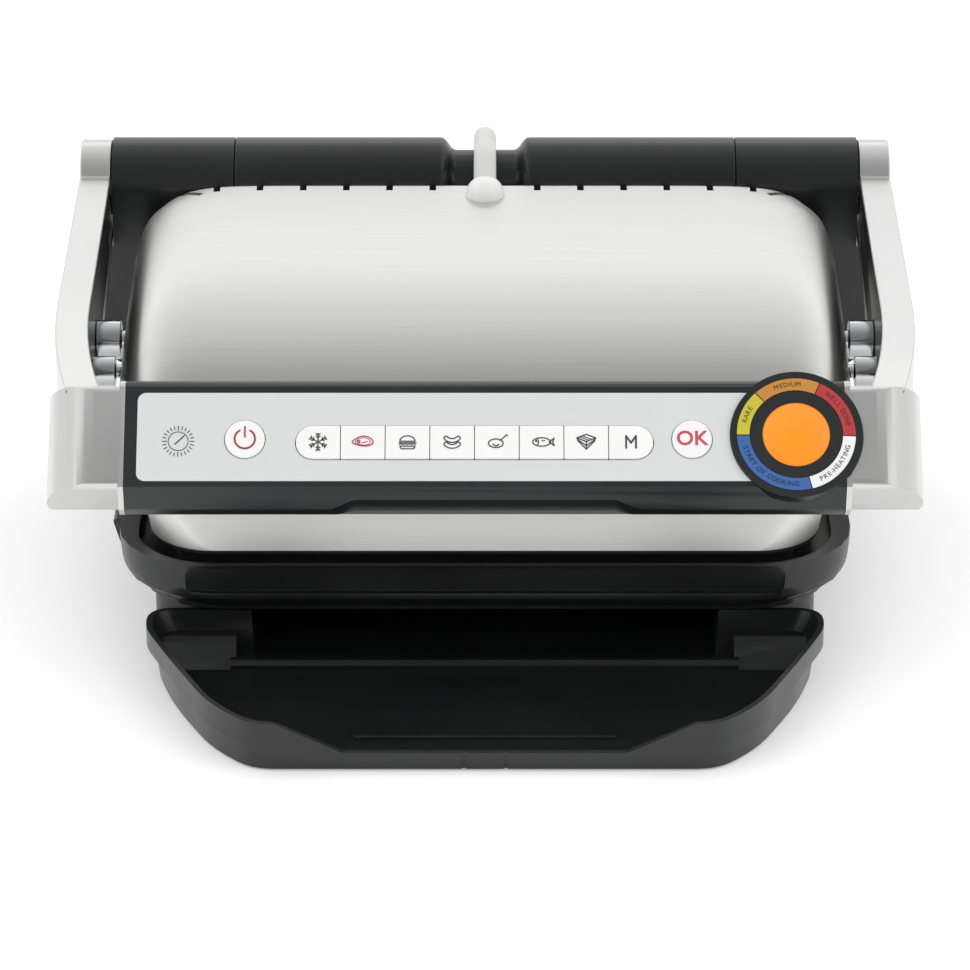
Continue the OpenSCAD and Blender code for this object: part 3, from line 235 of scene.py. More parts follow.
mats = {
    "black_plastic": mouldedPbt("glass-filled PBT, fine moulded grain", "#121315", "#18191a", 0.3, 0.6),
    "brushed_steel": brushedSteel("stainless steel, brushed", "#d6d6d2", "#e0e0dc"),
    "silver_frame": satinSilver("zinc die casting, satin silver coat", "#cfd0cf", "#d6d6d5", 0.3, 0.9),
    "chrome_pin": polishedChrome("steel pin, turned and chromed", "#c6c8c9"),
    "steel_shaft": polishedChrome("steel shaft, ground", "#a8a9a9", 0.25),
    "zinc_screw": plainMetal("steel screw, zinc plated", "#9a9c9e", 0.35),
    "nonstick_cast": nonstickCast("cast aluminium, non-stick coated", "#1d1d1e", "#29292a"),
    "heater_sheath": plainMetal("heater sheath, oxidised steel", "#77766f", 0.5, 200),
    "bright_sheet": plainMetal("aluminised steel sheet, rolled", "#cfd0cf", 0.25, 60),
    "thermostat_body": plainMetal("thermostat case, yellow passivated", "#b39a5e", 0.4),
    "circuit_board": glossyMoulding("circuit board, green solder resist", "#1f5a34", "#25683d", 0.35),
    "foot_rubber": mouldedPbt("rubber foot, moulded", "#17181a", "#1d1e20", 0.7),
    "tray_plastic": mouldedPbt("PBT tray, smooth moulded", "#151617", "#1b1c1d", 0.28, 0.6),
    "bearing_plastic": glossyMoulding("acetal bush, moulded", "#d8d4c8", "#dedacf", 0.35),
    "bezel_plastic": mouldedPbt("ABS bezel, satin moulded", "#1a1c1d", "#212324", 0.32, 0.55),
    "fascia": satinSilver("polyester fascia, silver printed", "#dfe1e1", "#e4e6e5", 0.4, 0.08),
    "lens": glossyMoulding("polycarbonate lens, lit orange", "#ef8206", "#f58f18", 0.28, 0.3, 0.35),
    "key_white": glossyMoulding("ABS key, white moulded", "#fafaf9", "#fdfdfc", 0.3),
    "conduit_grey": mouldedPbt("silicone conduit, grey extruded", "#d2d3d1", "#dadbd9", 0.45),
    "boss_white": glossyMoulding("conduit boss, white moulded", "#e9e9e6", "#efefec", 0.3),
    "ring_print": printedInk("printed ring, orange", "#c98a3a"),
}
slotOf = {s["node"]: s["material_slot"] for s in frame["record"]["subparts"]}
for nodeName, obj in nodes.items():
    obj.data.materials.clear()
    obj.data.materials.append(mats[slotOf[nodeName]])
print("materials made")


# pieces
def bodyOf(nodeName):
    # the moving body that holds a node
    return next(b for b, held in frame["record"]["behaviour"]["bodies"].items() if nodeName in held)


def meshPiece(name, verts, faces, mat, smooth=True):
    mesh = bpy.data.meshes.new(name)
    mesh.from_pydata(np.asarray(verts).reshape(-1, 3).tolist(), [], [list(f) for f in faces])
    mesh.update()
    mesh.materials.append(mat)
    if smooth:
        mesh.polygons.foreach_set("use_smooth", np.ones(len(mesh.polygons), bool))
    obj = bpy.data.objects.new(name, mesh)
    scene.collection.objects.link(obj)
    return obj


def gridFaces(rows, columns, closedAcross=False):
    # quads of a rows by columns grid of points, numbered row by row
    across = columns if closedAcross else columns - 1
    r, c = np.meshgrid(np.arange(rows - 1), np.arange(across), indexing="ij")
    here, below, nextC = r * columns, (r + 1) * columns, (c + 1) % columns
    return np.stack([here + c, here + nextC, below + nextC, below + c], -1).reshape(-1, 4)


def smoothByAngle(mesh, degrees):
    # edges sharper than the angle stay sharp
    mesh.polygons.foreach_set("use_smooth", np.ones(len(mesh.polygons), bool))
    mesh.set_sharp_from_angle(angle=math.radians(degrees))


# rounding: lengths in metres, angles in degrees
rounding = {"join": 2e-6, "flat": 0.4, "smoothBelow": 32, "roundAbove": 28, "segments": 2}


def refined(nodeName, edge):
    # the node's own shape, joined up, with its edges rounded by a bevel of edge metres
    mesh = nodes[nodeName].data.copy()
    mesh.name = nodeName + "_rounded"
    bm = bmesh.new()
    bm.from_mesh(mesh)
    bmesh.ops.remove_doubles(bm, verts=bm.verts, dist=rounding["join"])
    bmesh.ops.dissolve_limit(bm, angle_limit=math.radians(rounding["flat"]), verts=bm.verts, edges=bm.edges)
    bm.to_mesh(mesh)
    bm.free()
    obj = bpy.data.objects.new(nodeName + "_rounded", mesh)
    scene.collection.objects.link(obj)
    smoothByAngle(mesh, rounding["smoothBelow"])
    bevel = obj.modifiers.new("edges", "BEVEL")
    bevel.width = edge
    bevel.segments = rounding["segments"]
    bevel.limit_method = "ANGLE"
    bevel.angle_limit = math.radians(rounding["roundAbove"])
    bevel.harden_normals = True
    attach(obj, bodyOf(nodeName))
    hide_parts(nodeName)


# steel lid: metres and degrees, and shares of its own height, depth or rows
lid = {"bulge": 0.0145, "bulgeTop": 0.05, "frontRadius": 0.028, "backRadius": 0.02, "archX": 13, "archZ": 6,
       "corner": 0.7, "frontPull": ((0.04, 0.85), (0.25, 0.95)), "crest": 0.007, "wallShare": 0.82,
       "sheet": 0.001, "pastHousing": 0.0003, "rows": 100, "frontRows": 0.62, "backRows": 0.25,
       "wallRows": 8, "across": 160, "ventWidth": 0.003, "ventFirst": 0.0234, "ventPitch": 0.01935,
       "ventCount": 6, "ventDeep": 0.011, "ventLow": 0.8, "lastVentBack": 0.45, "lastVentTurn": 55,
       "lastVentY": (-0.004, 0.001, 0.008), "pivotHole": 0.005, "stopHole": 0.0052, "holeReach": 0.2,
       "bossGap": 0.0001, "bossDeep": 0.012, "buttonGap": 0.001, "past": 0.01}


def bezier(points, t):
    # cubic curve: the four points weighted by the binomial terms of t and 1 - t
    p = np.asarray(points)
    t = np.asarray(t)[:, None]
    return (1 - t) ** 3 * p[0] + 3 * (1 - t) ** 2 * t * p[1] + 3 * (1 - t) * t * t * p[2] + t ** 3 * p[3]


def domeGrid(w, d, h, s):
    # a front-to-back profile (y, top) in three stretches; at each y an arch |x|^m + |z|^n = 1 from side
    # to side, as wide as the rounded plan, whose sides swell as sin(z)^1.5 up to bulgeTop
    crest = s["crest"]
    pull = [(a * d, b * h) for a, b in s["frontPull"]]
    front = bezier([(0, 0), *pull, (d - crest, h)], np.linspace(0, 1, int(s["rows"] * s["frontRows"])) ** 1.4)
    back = bezier([(d - crest, h), (d - 0.4 * crest, h + 0.0005), (d, h - 0.004), (d, s["wallShare"] * h)],
                  np.linspace(0, 1, int(s["rows"] * s["backRows"]))[1:])
    down = np.linspace(1, 0, s["wallRows"] + 1)[1:]
    wall = np.stack([np.full(s["wallRows"], d), s["wallShare"] * h * down], 1)
    prof = np.concatenate([front, back, wall])
    y, top = prof[:, 0], prof[:, 1]
    f, b = s["frontRadius"], s["backRadius"]
    half = np.where(y < f, w / 2 - f + np.sqrt(np.maximum(0, f * f - (f - y) ** 2)), w / 2)
    inBack = np.maximum(0, y - d + b)
    half = np.where(y > d - b, w / 2 - b + np.sqrt(np.maximum(0, b * b - inBack ** 2)), half)
    u = np.linspace(-1, 1, s["across"] + 1)
    q = np.abs(u)
    m, n = s["archX"], s["archZ"]
    crownX = 0.5 ** (1 / m) * np.minimum(1, 2 * q) ** s["corner"]
    sideZ = 0.5 ** (1 / n) * np.clip(2 - 2 * q, 0, 1) ** s["corner"]
    x = np.where(q <= 0.5, crownX, (1 - sideZ ** n) ** (1 / m)) * np.sign(u)
    z = top[:, None] * np.where(q <= 0.5, (1 - crownX ** m) ** (1 / n), sideZ)
    swell = s["bulge"] * np.sin(np.pi / 2 * np.minimum(1, z / s["bulgeTop"])) ** 1.5
    return np.stack([(half[:, None] + swell) * x, np.repeat(y[:, None], len(u), 1), z], -1)


def carve(target, cutters):
    # cuts the closed cutters out of the target for good
    for cutter in cutters:
        mod = target.modifiers.new("cut", "BOOLEAN")
        mod.operation = "DIFFERENCE"
        mod.solver = "EXACT"
        mod.object = cutter
    bpy.context.view_layer.update()
    done = bpy.data.meshes.new_from_object(target.evaluated_get(bpy.context.evaluated_depsgraph_get()))
    done.name = target.name
    target.modifiers.clear()
    target.data = done
    for cutter in cutters:
        bpy.data.objects.remove(cutter)


def boxCutter(lo, hi, turn=0.0, about=(0, 0)):
    # a closed box from corner to corner, turned about a vertical line
    corners = np.array([(x, y, z) for z in (lo[2], hi[2]) for y in (lo[1], hi[1]) for x in (lo[0], hi[0])])
    c, s = math.cos(turn), math.sin(turn)
    off = corners[:, :2] - about
    corners[:, :2] = off @ np.array([[c, s], [-s, c]]) + about
    faces = [(0, 2, 3, 1), (4, 5, 7, 6), (0, 1, 5, 4), (2, 6, 7, 3), (0, 4, 6, 2), (1, 3, 7, 5)]
    return meshPiece("cutter", corners, faces, mats["brushed_steel"], False)


def rodCutter(centre, axis, r, half, n=32):
    # a closed round rod through centre along axis
    turn = Vector((0, 0, 1)).rotation_difference(Vector(axis)).to_matrix()
    a = np.arange(n) * 2 * np.pi / n
    ring = np.stack([r * np.cos(a), r * np.sin(a)], 1)
    pts = np.concatenate([np.c_[ring, np.full(n, -half)], np.c_[ring, np.full(n, half)]])
    pts = pts @ np.array(turn).T + np.array(centre)
    sides = [(i, (i + 1) % n, n + (i + 1) % n, n + i) for i in range(n)]
    return meshPiece("cutter", pts, sides + [tuple(range(n - 1, -1, -1)), tuple(range(n, 2 * n))],
                     mats["brushed_steel"], False)


def makeLid(s):
    lo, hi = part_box("lid_cover")
    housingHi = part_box("lid_housing")[1]
    w, d, h = 2 * (housingHi[0] + s["pastHousing"]), hi[1] - lo[1], hi[2] - lo[2]
    grid = domeGrid(w, d, h, s) + np.array([0, lo[1], lo[2]])
    inner = grid.copy()
    inner[..., 0] *= 1 - 2 * s["sheet"] / w
    inner[..., 1] = (grid[..., 1] - lo[1] - d / 2) * (1 - 2 * s["sheet"] / d) + lo[1] + d / 2
    inner[..., 2] = (grid[..., 2] - lo[2]) * (1 - s["sheet"] / h) + lo[2]
    rows, cols = grid.shape[:2]
    n = rows * cols
    faces = gridFaces(rows, cols)
    rim = np.concatenate([np.arange(cols), np.arange(1, rows) * cols + cols - 1,
                          (rows - 1) * cols + np.arange(cols - 2, -1, -1), np.arange(rows - 2, 0, -1) * cols])
    edge = np.stack([np.roll(rim, -1), rim, rim + n, np.roll(rim, -1) + n], 1)
    cover = meshPiece("lidCover", np.concatenate([grid.reshape(-1, 3), inner.reshape(-1, 3)]),
                      np.concatenate([faces, faces[:, ::-1] + n, edge]), mats["brushed_steel"])
    low, above = lo[2] + s["ventLow"] * h, hi[2] + 2 * s["past"]
    y0 = hi[1] - s["ventDeep"]
    half = s["ventWidth"] / 2
    cutters = []
    for side in (-1, 1):
        for i in range(s["ventCount"]):
            x = side * (s["ventFirst"] + i * s["ventPitch"])
            cutters.append(boxCutter((x - half, y0, low), (x + half, hi[1] + s["past"], above)))
        # the last slot of each row turns towards the corner
        x = side * (s["ventFirst"] + (s["ventCount"] - s["lastVentBack"]) * s["ventPitch"])
        fromY, aboutY, toY = [y0 + y for y in s["lastVentY"]]
        cutters.append(boxCutter((x - half, fromY, low), (x + half, toY, above),
                                 -side * math.radians(s["lastVentTurn"]), (x, aboutY)))
    pivot = joints["lid_float"]["pos_m"]
    stopLo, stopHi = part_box("left_stop_pin")
    stop = [0, (stopLo[1] + stopHi[1]) / 2, (stopLo[2] + stopHi[2]) / 2]
    bossLo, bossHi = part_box("conduit_boss")
    cutters.append(rodCutter((0, pivot[1], pivot[2]), (1, 0, 0), s["pivotHole"], s["holeReach"]))
    cutters.append(rodCutter(stop, (1, 0, 0), s["stopHole"], s["holeReach"]))
    cutters.append(rodCutter(((bossLo[0] + bossHi[0]) / 2, (bossLo[1] + bossHi[1]) / 2, bossHi[2]), (0, 0, 1),
                             (bossHi[0] - bossLo[0]) / 2 + s["bossGap"], s["bossDeep"]))
    buttonLo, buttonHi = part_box("upper_release_button")
    gap = s["buttonGap"]
    cutters.append(boxCutter((-0.2, buttonLo[1] - gap, lo[2] - s["past"]),
                             (-0.1, buttonHi[1] + gap, buttonHi[2] + gap)))
    carve(cover, cutters)
    smoothByAngle(cover.data, 40)
    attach(cover, "lid")
    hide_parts("lid_cover")


makeLid(lid)
print("lid made")

# cast and moulded parts: the CAD shape with its edges rounded
edges = {"handle_frame": 0.0012, "left_arm": 0.0012, "right_arm": 0.0012, "control_bezel": 0.0007,
         "base_shell": 0.0014, "base_bottom_cover": 0.0008, "drip_tray": 0.001, "left_hinge_tower": 0.0012,
         "right_hinge_tower": 0.0012, "barrel_cover": 0.0006, "lower_release_button": 0.0008,
         "upper_release_button": 0.0008, "control_panel": 0.0002, "feet": 0.0006, "conduit_socket": 0.0006,
         "cord_gland": 0.0005, "left_pivot_pin": 0.0005, "right_pivot_pin": 0.0005, "left_stop_pin": 0.0005,
         "right_stop_pin": 0.0005, "left_arm_liner": 0.0005, "right_arm_liner": 0.0005,
         "power_button": 0.0005, "ok_button": 0.0005, "lid_housing": 0.0004, "upper_plate": 0.0005,
         "lower_plate": 0.0005, "conduit_boss": 0.0004}
for nodeName in [n for n in nodes if n.startswith("key_")]:
    edges[nodeName] = 0.00035
for nodeName, width in edges.items():
    refined(nodeName, width)
print("edges rounded")

# control face: its own frame, x right, y up the slope, z out of the face
face = {"tilt": 46.4, "middle": (0.0, -0.1071, 0.1214), "proud": 0.0008, "ink": 0.00012, "capShare": 0.7}
tilt = math.radians(face["tilt"])
faceTurn = np.array([[1, 0, 0], [0, math.cos(tilt), -math.sin(tilt)], [0, math.sin(tilt), math.cos(tilt)]])


def onFace(points):
    # points of the face's frame in the object's: turned by the tilt, then moved to the face's middle
    return np.asarray(points) @ faceTurn.T + np.array(face["middle"])


def boxMiddle(nodeName):
    lo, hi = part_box(nodeName)
    return (np.array(lo) + np.array(hi)) / 2


def faceSpot(nodeName):
    # where a node's middle lies on the face, as (x, y)
    p = (boxMiddle(nodeName) - np.array(face["middle"])) @ faceTurn
    return p[0], p[1]


def addPrint(name, rings, z, mat, body, thick=face["ink"]):
    # thin raised print: each closed outline, a loop of (x, y) on the face, becomes a flat slab
    verts, faces = [], []
    for ring in rings:
        ring = np.asarray(ring)
        n, base = len(ring), len(verts)
        for height in (z, z + thick):
            verts += onFace(np.c_[ring, np.full(n, height)]).tolist()
        area = np.sum(ring[:, 0] * np.roll(ring[:, 1], -1) - np.roll(ring[:, 0], -1) * ring[:, 1])
        order = list(range(n) if area > 0 else range(n - 1, -1, -1))
        faces.append([base + n + i for i in order])
        faces.append([base + i for i in reversed(order)])
        for k in range(n):
            a, b = order[k], order[(k + 1) % n]
            faces.append([base + a, base + b, base + n + b, base + n + a])
    obj = meshPiece(name, verts, faces, mat, False)
    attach(obj, body)


def stroke(points, width, closed=False):
    # outlines of a line of that width along the points: one small bar a step, with its ends rounded off
    p = np.asarray(points, float)
    if closed:
        p = np.concatenate([p, p[:1]])
    rings = []
    for a, b in zip(p[:-1], p[1:]):
        d = b - a
        length = np.hypot(*d)
        if length < 1e-7:
            continue
        base = math.degrees(math.atan2(d[1], d[0]))
        rings.append(np.concatenate([circle(*a, width / 2, base + 90, base + 270, 5),
                                     circle(*b, width / 2, base - 90, base + 90, 5)]))
    return rings


def circle(x, y, r, a0=0.0, a1=360.0, n=40):
    # n points at angles from a0 to a1 degrees: the centre plus r times (cosine, sine)
    t = np.radians(np.linspace(a0, a1, n))
    return np.c_[x + r * np.cos(t), y + r * np.sin(t)]


# programme icons and marks, printed on the caps
icon = {"line": 0.0005, "size": 0.00368, "lit": "steak", "powerSize": 0.0042, "powerLine": 0.0008,
        "okHeight": 0.0062, "okBold": 0.00015, "grey": "#4a4c4e", "red": "#c8505c"}
greyInk = printedInk("printed ink, dark grey", icon["grey"])
redInk = printedInk("printed ink, red", icon["red"])
capTop = face["proud"]


def placed(c, r, *points):
    # points given in units of r round c
    return [c + r * np.array(p) for p in points]


def snowflake(c, r, w):
    # six arms 60 degrees apart, each with two pairs of barbs
    rings = []
    for k in range(6):
        a = math.radians(60 * k + 90)
        u = np.array([math.cos(a), math.sin(a)])
        v = np.array([-u[1], u[0]])
        rings += stroke([c + 0.1 * r * u, c + r * u], w)
        for f in (0.5, 0.8):
            tip = c + (f + 0.2) * r * u
            rings += stroke([tip + 0.22 * r * v, c + f * r * u, tip - 0.22 * r * v], w)
    return rings


def steak(c, r, w):
    # an ellipse that wavers with cos 2t and sin t, the same one smaller inside it, and a round bone
    t = np.radians(np.arange(0, 360, 12))
    outline = np.c_[(1.05 + 0.12 * np.cos(2 * t)) * np.cos(t), (0.58 + 0.16 * np.sin(t + 0.8)) * np.sin(t)]
    inner = outline * 0.74
    return (stroke(c + r * outline, w, True) + stroke(c + r * inner, w * 0.6, True)
            + stroke(circle(c[0] - 0.45 * r, c[1] + 0.05 * r, 0.14 * r, n=12), w)
            + stroke(placed(c, r, (-0.1, -0.12), (0.5, 0.05)), w * 0.8))


def burger(c, r, w):
    # a half ellipse over a straight line, a zigzag line and a bun that narrows downwards
    top = np.array(c) + circle(0, 0.12 * r, 0.85 * r, 0, 180, 14) * [1, 0.75]
    wave = [(x, -0.3 + 0.08 * (i % 2)) for i, x in enumerate(np.linspace(-0.9, 0.9, 9))]
    return (stroke(top, w, True) + stroke(placed(c, r, (-0.95, -0.1), (0.95, -0.1)), w)
            + stroke(placed(c, r, *wave), w * 0.8)
            + stroke(placed(c, r, (-0.85, -0.5), (0.85, -0.5), (0.7, -0.8), (-0.7, -0.8)), w, True))


def sausages(c, r, w):
    # two curved sausages, one above the other: the outline of an arc with round ends
    rings = []
    for up in (1.15, 0.45):
        x, y = c[0], c[1] + up * r
        far, near = circle(x, y, 1.2 * r, 225, 315, 10), circle(x, y, 0.75 * r, 315, 225, 10)
        right = circle(*((far[-1] + near[0]) / 2), 0.225 * r, -45, 135, 7)
        left = circle(*((near[-1] + far[0]) / 2), 0.225 * r, 45, 225, 7)
        rings += stroke(np.concatenate([far, right[1:-1], near, left[1:-1]]), w, True)
    return rings


def poultry(c, r, w):
    # an ellipse with a leg bone pointing up and an arc for the wing
    t = np.radians(np.arange(0, 360, 15))
    body = np.c_[np.cos(t), 0.62 * np.sin(t)]
    leg = placed(c, r, (0.35, 0.2), (0.8, 0.55), (1.05, 0.85), (1.2, 0.72))
    return (stroke(c + r * (body * 0.82 + [-0.12, -0.15]), w, True) + stroke(leg, w)
            + stroke(circle(c[0] - 0.1 * r, c[1] - 0.1 * r, 0.35 * r, 200, 330, 8), w))


def fish(c, r, w):
    # two half ellipses back to back, a forked tail, a round eye and an arc for the gill
    t = np.radians(np.arange(0, 181, 12))
    upper = np.c_[np.cos(t), 0.5 * np.sin(t)]
    body = np.concatenate([upper, upper[::-1] * [1, -1]])
    tail = placed(c, r, (0.85, 0.0), (1.4, 0.45), (1.25, 0.0), (1.4, -0.45), (0.85, 0.0))
    return (stroke(c + r * body, w, True) + stroke(tail, w)
            + stroke(circle(c[0] - 0.6 * r, c[1] + 0.1 * r, 0.07 * r, n=8), w)
            + stroke(circle(c[0] - 0.75 * r, c[1], 0.42 * r, -50, 50, 8), w * 0.8)
            + stroke(placed(c, r, (0.0, 0.15), (0.35, 0.15)), w * 0.8))


def sandwich(c, r, w):
    # a bread triangle seen from its corner, with the grill's marks crossing it
    rings = stroke(placed(c, r, (-1.05, 0.5), (0, 0.9), (1.05, 0.5), (0, 0.05)), w, True)
    rings += stroke(placed(c, r, (-1.05, 0.5), (-0.9, 0.1), (0, -0.85), (0.9, 0.1), (1.05, 0.5)), w)
    rings += stroke(placed(c, r, (-0.98, 0.3), (0, -0.45), (0.98, 0.3)), w)
    rings += stroke(placed(c, r, (0, 0.05), (0, -0.85)), w)
    for f in (0.3, 0.6):
        rings += stroke(placed(c, r, (-1.05 + f, 0.5 + 0.38 * f), (f, 0.05 + 0.43 * f)), w * 0.8)
    return rings


def capitalM(c, r, w):
    return stroke(placed(c, r, (-0.55, -0.7), (-0.55, 0.7), (0, -0.1), (0.55, 0.7), (0.55, -0.7)), w)


def letters(text, c, height, body, name, mat, z, turn=0.0, bold=0.0):
    # a word in the plain built-in face, laid on the control face round its own middle
    data = bpy.data.curves.new(name, "FONT")
    data.body = text
    data.size = height / face["capShare"]
    data.align_x = "CENTER"
    data.align_y = "CENTER"
    data.extrude = face["ink"] / 2
    data.offset = bold
    data.resolution_u = 3
    temp = bpy.data.objects.new(name + "Text", data)
    scene.collection.objects.link(temp)
    bpy.context.view_layer.update()
    mesh = bpy.data.meshes.new_from_object(temp.evaluated_get(bpy.context.evaluated_depsgraph_get()))
    bpy.data.objects.remove(temp)
    v = np.empty(len(mesh.vertices) * 3)
    mesh.vertices.foreach_get("co", v)
    v = v.reshape(-1, 3)
    cs, sn = math.cos(turn), math.sin(turn)
    flat = np.c_[v[:, 0] * cs - v[:, 1] * sn + c[0], v[:, 0] * sn + v[:, 1] * cs + c[1], v[:, 2] + z]
    mesh.vertices.foreach_set("co", onFace(flat).ravel())
    mesh.materials.clear()
    mesh.materials.append(mat)
    obj = bpy.data.objects.new(name, mesh)
    mesh.name = name
    scene.collection.objects.link(obj)
    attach(obj, body)


def makeIcons(s):
    # each drawing stands at the middle of its key; the lit key's is red
    drawn = {"frozen": snowflake, "steak": steak, "burger": burger, "sausage": sausages, "poultry": poultry,
             "fish": fish, "sandwich": sandwich, "manual": capitalM}
    for key, draw in drawn.items():
        nodeName = "key_" + key
        line = s["line"] * (1.6 if key == "manual" else 1)
        rings = draw(np.array(faceSpot(nodeName)), s["size"], line)
        ink = redInk if key == s["lit"] else greyInk
        addPrint("icon_" + key, rings, capTop, ink, bodyOf(nodeName))
    c, r, w = np.array(faceSpot("power_button")), s["powerSize"], s["powerLine"]
    rings = stroke(circle(c[0], c[1], r, 120, 420, 36), w) + stroke(placed(c, r, (0, 0.2), (0, 1.25)), w)
    addPrint("icon_power", rings, capTop, redInk, "power")
    letters("OK", faceSpot("ok_button"), s["okHeight"], "ok", "icon_ok", redInk,
            capTop + face["ink"] / 2, bold=s["okBold"])


makeIcons(icon)
print("icons printed")

# indicator: five printed ring segments with their words
ring = {"inner": 0.0192, "outer": 0.0244, "gap": 1.2, "top": 0.00162, "thick": 0.0003, "wordHeight": 0.002,
        "wordLift": 0.00005, "advance": 0.98, "wide": "MWOGQ", "wideStep": 1.2, "thin": " I-",
        "thinStep": 0.55}
# name, first and last angle, colour, word, ink
segments = [("rare", 181, 132.5, "#cdc236", "RARE", "#5a561c"),
            ("medium", 132.5, 65.5, "#c98a3a", "MEDIUM", "#5c3d16"),
            ("well_done", 65.5, -2, "#b8393c", "WELL DONE", "#6e1f22"),
            ("preheating", -2, -75.6, "#f6f6f5", "PRE-HEATING", "#3c3e40"),
            ("start", -75.6, -179, "#3b67a8", "START OF COOKING", "#16305a")]


def ringSector(name, a0, a1, s, mat):
    # a flat ring sector: radius against angle on a grid, closed below
    t = np.radians(np.linspace(a0 - s["gap"] / 2, a1 + s["gap"] / 2, 40))
    rings = [np.concatenate([np.c_[s["outer"] * np.cos(t), s["outer"] * np.sin(t)],
                             np.c_[s["inner"] * np.cos(t[::-1]), s["inner"] * np.sin(t[::-1])]]) + dialSpot]
    addPrint("ring_" + name, rings, s["top"] - s["thick"], mat, "arms", s["thick"])


def ringWord(name, text, a0, a1, s, mat):
    # letters turned one by one round the ring; the lower words read from outside in
    middle = (a0 + a1) / 2
    lower = middle < -10
    radius = (s["inner"] + s["outer"]) / 2
    step = math.degrees(s["wordHeight"] * s["advance"] / radius)
    widths = [s["thinStep"] if ch in s["thin"] else s["wideStep"] if ch in s["wide"] else 1.0 for ch in text]
    along = np.cumsum(widths) - np.array(widths) / 2 - sum(widths) / 2
    for i, ch in enumerate(text):
        if ch == " ":
            continue
        a = middle + (1 if lower else -1) * step * along[i]
        turn = math.radians(a + 90 if lower else a - 90)
        spot = dialSpot + radius * np.array([math.cos(math.radians(a)), math.sin(math.radians(a))])
        letters(ch, spot, s["wordHeight"], "arms", "word_" + name + str(i), mat,
                s["top"] + s["wordLift"], turn)


dialSpot = np.array(faceSpot("indicator_ring"))
for name, a0, a1, colour, word, ink in segments:
    ringSector(name, a0, a1, ring, printedInk("printed ring, " + name.replace("_", " "), colour))
    ringWord(name, word, a0, a1, ring, printedInk("printed word, " + name.replace("_", " "), ink))
nodes["indicator_ring"].data.materials[0] = mats["bezel_plastic"]
print("indicator made")

# tick dial printed at the left of the face
tickDial = {"x": -0.1260, "y": -0.0026, "radius": 0.0066, "ticks": 24, "circle": 0.62, "tick": 0.8,
            "longTick": 0.72, "thin": 0.0003, "tickLine": 0.00035, "needleLine": 0.0005}


def makeTickDial(s):
    # ticks at equal angles between two radii, every sixth one longer, round a circle and a needle
    c = np.array([s["x"], s["y"]])
    rings = stroke(circle(c[0], c[1], s["radius"] * s["circle"], n=36), s["thin"])
    for k in range(s["ticks"]):
        a = 2 * math.pi * k / s["ticks"]
        u = np.array([math.cos(a), math.sin(a)])
        inner = s["tick"] if k % 6 else s["longTick"]
        rings += stroke([c + inner * s["radius"] * u, c + s["radius"] * u], s["tickLine"])
    needle = [c - 0.2 * s["radius"] * np.array([1, 1]), c + 0.38 * s["radius"] * np.array([1, 1])]
    rings += stroke(needle, s["needleLine"])
    addPrint("face_dial_mark", rings, 0.0, greyInk, "arms")


makeTickDial(tickDial)
print("tick dial printed")

# cable conduit: a smooth tube along its route, from the base up over the barrel to the lid
conduit = {"radius": 0.005, "around": 32, "steps": 90, "neck": 0.0133, "clear": 0.0008, "bossRadius": 0.0087,
           "fromBoss": ((0.0015, 0.0015), (0.008, 0.0074), (0.016, 0.0128)), "arcFrom": 112, "arcStep": 14,
           "down": 8, "downTurn": 105, "socketLift": 0.002, "evened": 3}


def makeConduit(s):
    # a circle carried along a route: out of the boss, round the barrel as an arc, then down to the
    # socket with y following sin^2; rounds of averaging even it out
    hinge = np.array(joints["arm_hinge"]["pos_m"])
    neck = s["neck"] + s["radius"] + s["clear"]
    bossLo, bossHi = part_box("conduit_boss")
    bossY = (bossLo[1] + bossHi[1]) / 2
    bossZ = bossHi[2] - s["bossRadius"]
    socketLo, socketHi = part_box("conduit_socket")
    socketY = (socketLo[1] + socketHi[1]) / 2
    a = np.radians(np.arange(s["arcFrom"], -1, -s["arcStep"]))
    i = np.arange(1, s["down"] + 1)
    turned = np.radians(np.minimum(90, s["downTurn"] * i / s["down"]))
    rear = hinge[1] + neck
    ground = socketLo[2] + s["socketLift"]
    pts = np.concatenate([
        [[bossY + y, bossZ + z] for y, z in s["fromBoss"]],
        np.c_[hinge[1] + neck * np.cos(a), hinge[2] + neck * np.sin(a)],
        np.c_[rear + (socketY - rear) * np.sin(turned) ** 2,
              hinge[2] + (ground - hinge[2]) * i / s["down"]]])
    far = np.concatenate([[0], np.cumsum(np.hypot(*np.diff(pts, axis=0).T))])
    u = np.linspace(0, far[-1], s["steps"])
    line = np.c_[np.interp(u, far, pts[:, 0]), np.interp(u, far, pts[:, 1])]
    for _ in range(s["evened"]):
        line[1:-1] = (line[:-2] + 2 * line[1:-1] + line[2:]) / 4
    d = np.gradient(line, axis=0)
    d /= np.hypot(*d.T)[:, None]
    t = np.arange(s["around"]) * 2 * np.pi / s["around"]
    r = s["radius"]
    x = np.repeat(r * np.cos(t)[None], len(u), 0)
    y = line[:, :1] - d[:, 1:] * r * np.sin(t)
    z = line[:, 1:] + d[:, :1] * r * np.sin(t)
    grid = np.stack([x, y, z], -1)
    n = len(u) * s["around"]
    faces = [list(f) for f in gridFaces(len(u), s["around"], True)[:, ::-1]]
    faces += [list(range(s["around"])), list(range(n - 1, n - 1 - s["around"], -1))]
    tube = meshPiece("cableConduit", grid, faces, mats["conduit_grey"])
    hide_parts("cable_conduit")
    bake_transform(tube)


makeConduit(conduit)
print("conduit made")

# floor, backdrop and light; sides is the strength in front against how far aside a ray points,
# stored in the curve as a share of curveTop
stage = {"floor": "#f7f7f7", "size": 12.0, "lift": 0.22, "behind": 1.0, "backFrom": -0.8, "backTo": 0.85,
         "curveTop": 2.0,
         "sides": ((0.0, 0.34), (0.3, 0.36), (0.5, 0.95), (0.68, 1.3), (0.84, 0.75), (1.0, 1.0))}


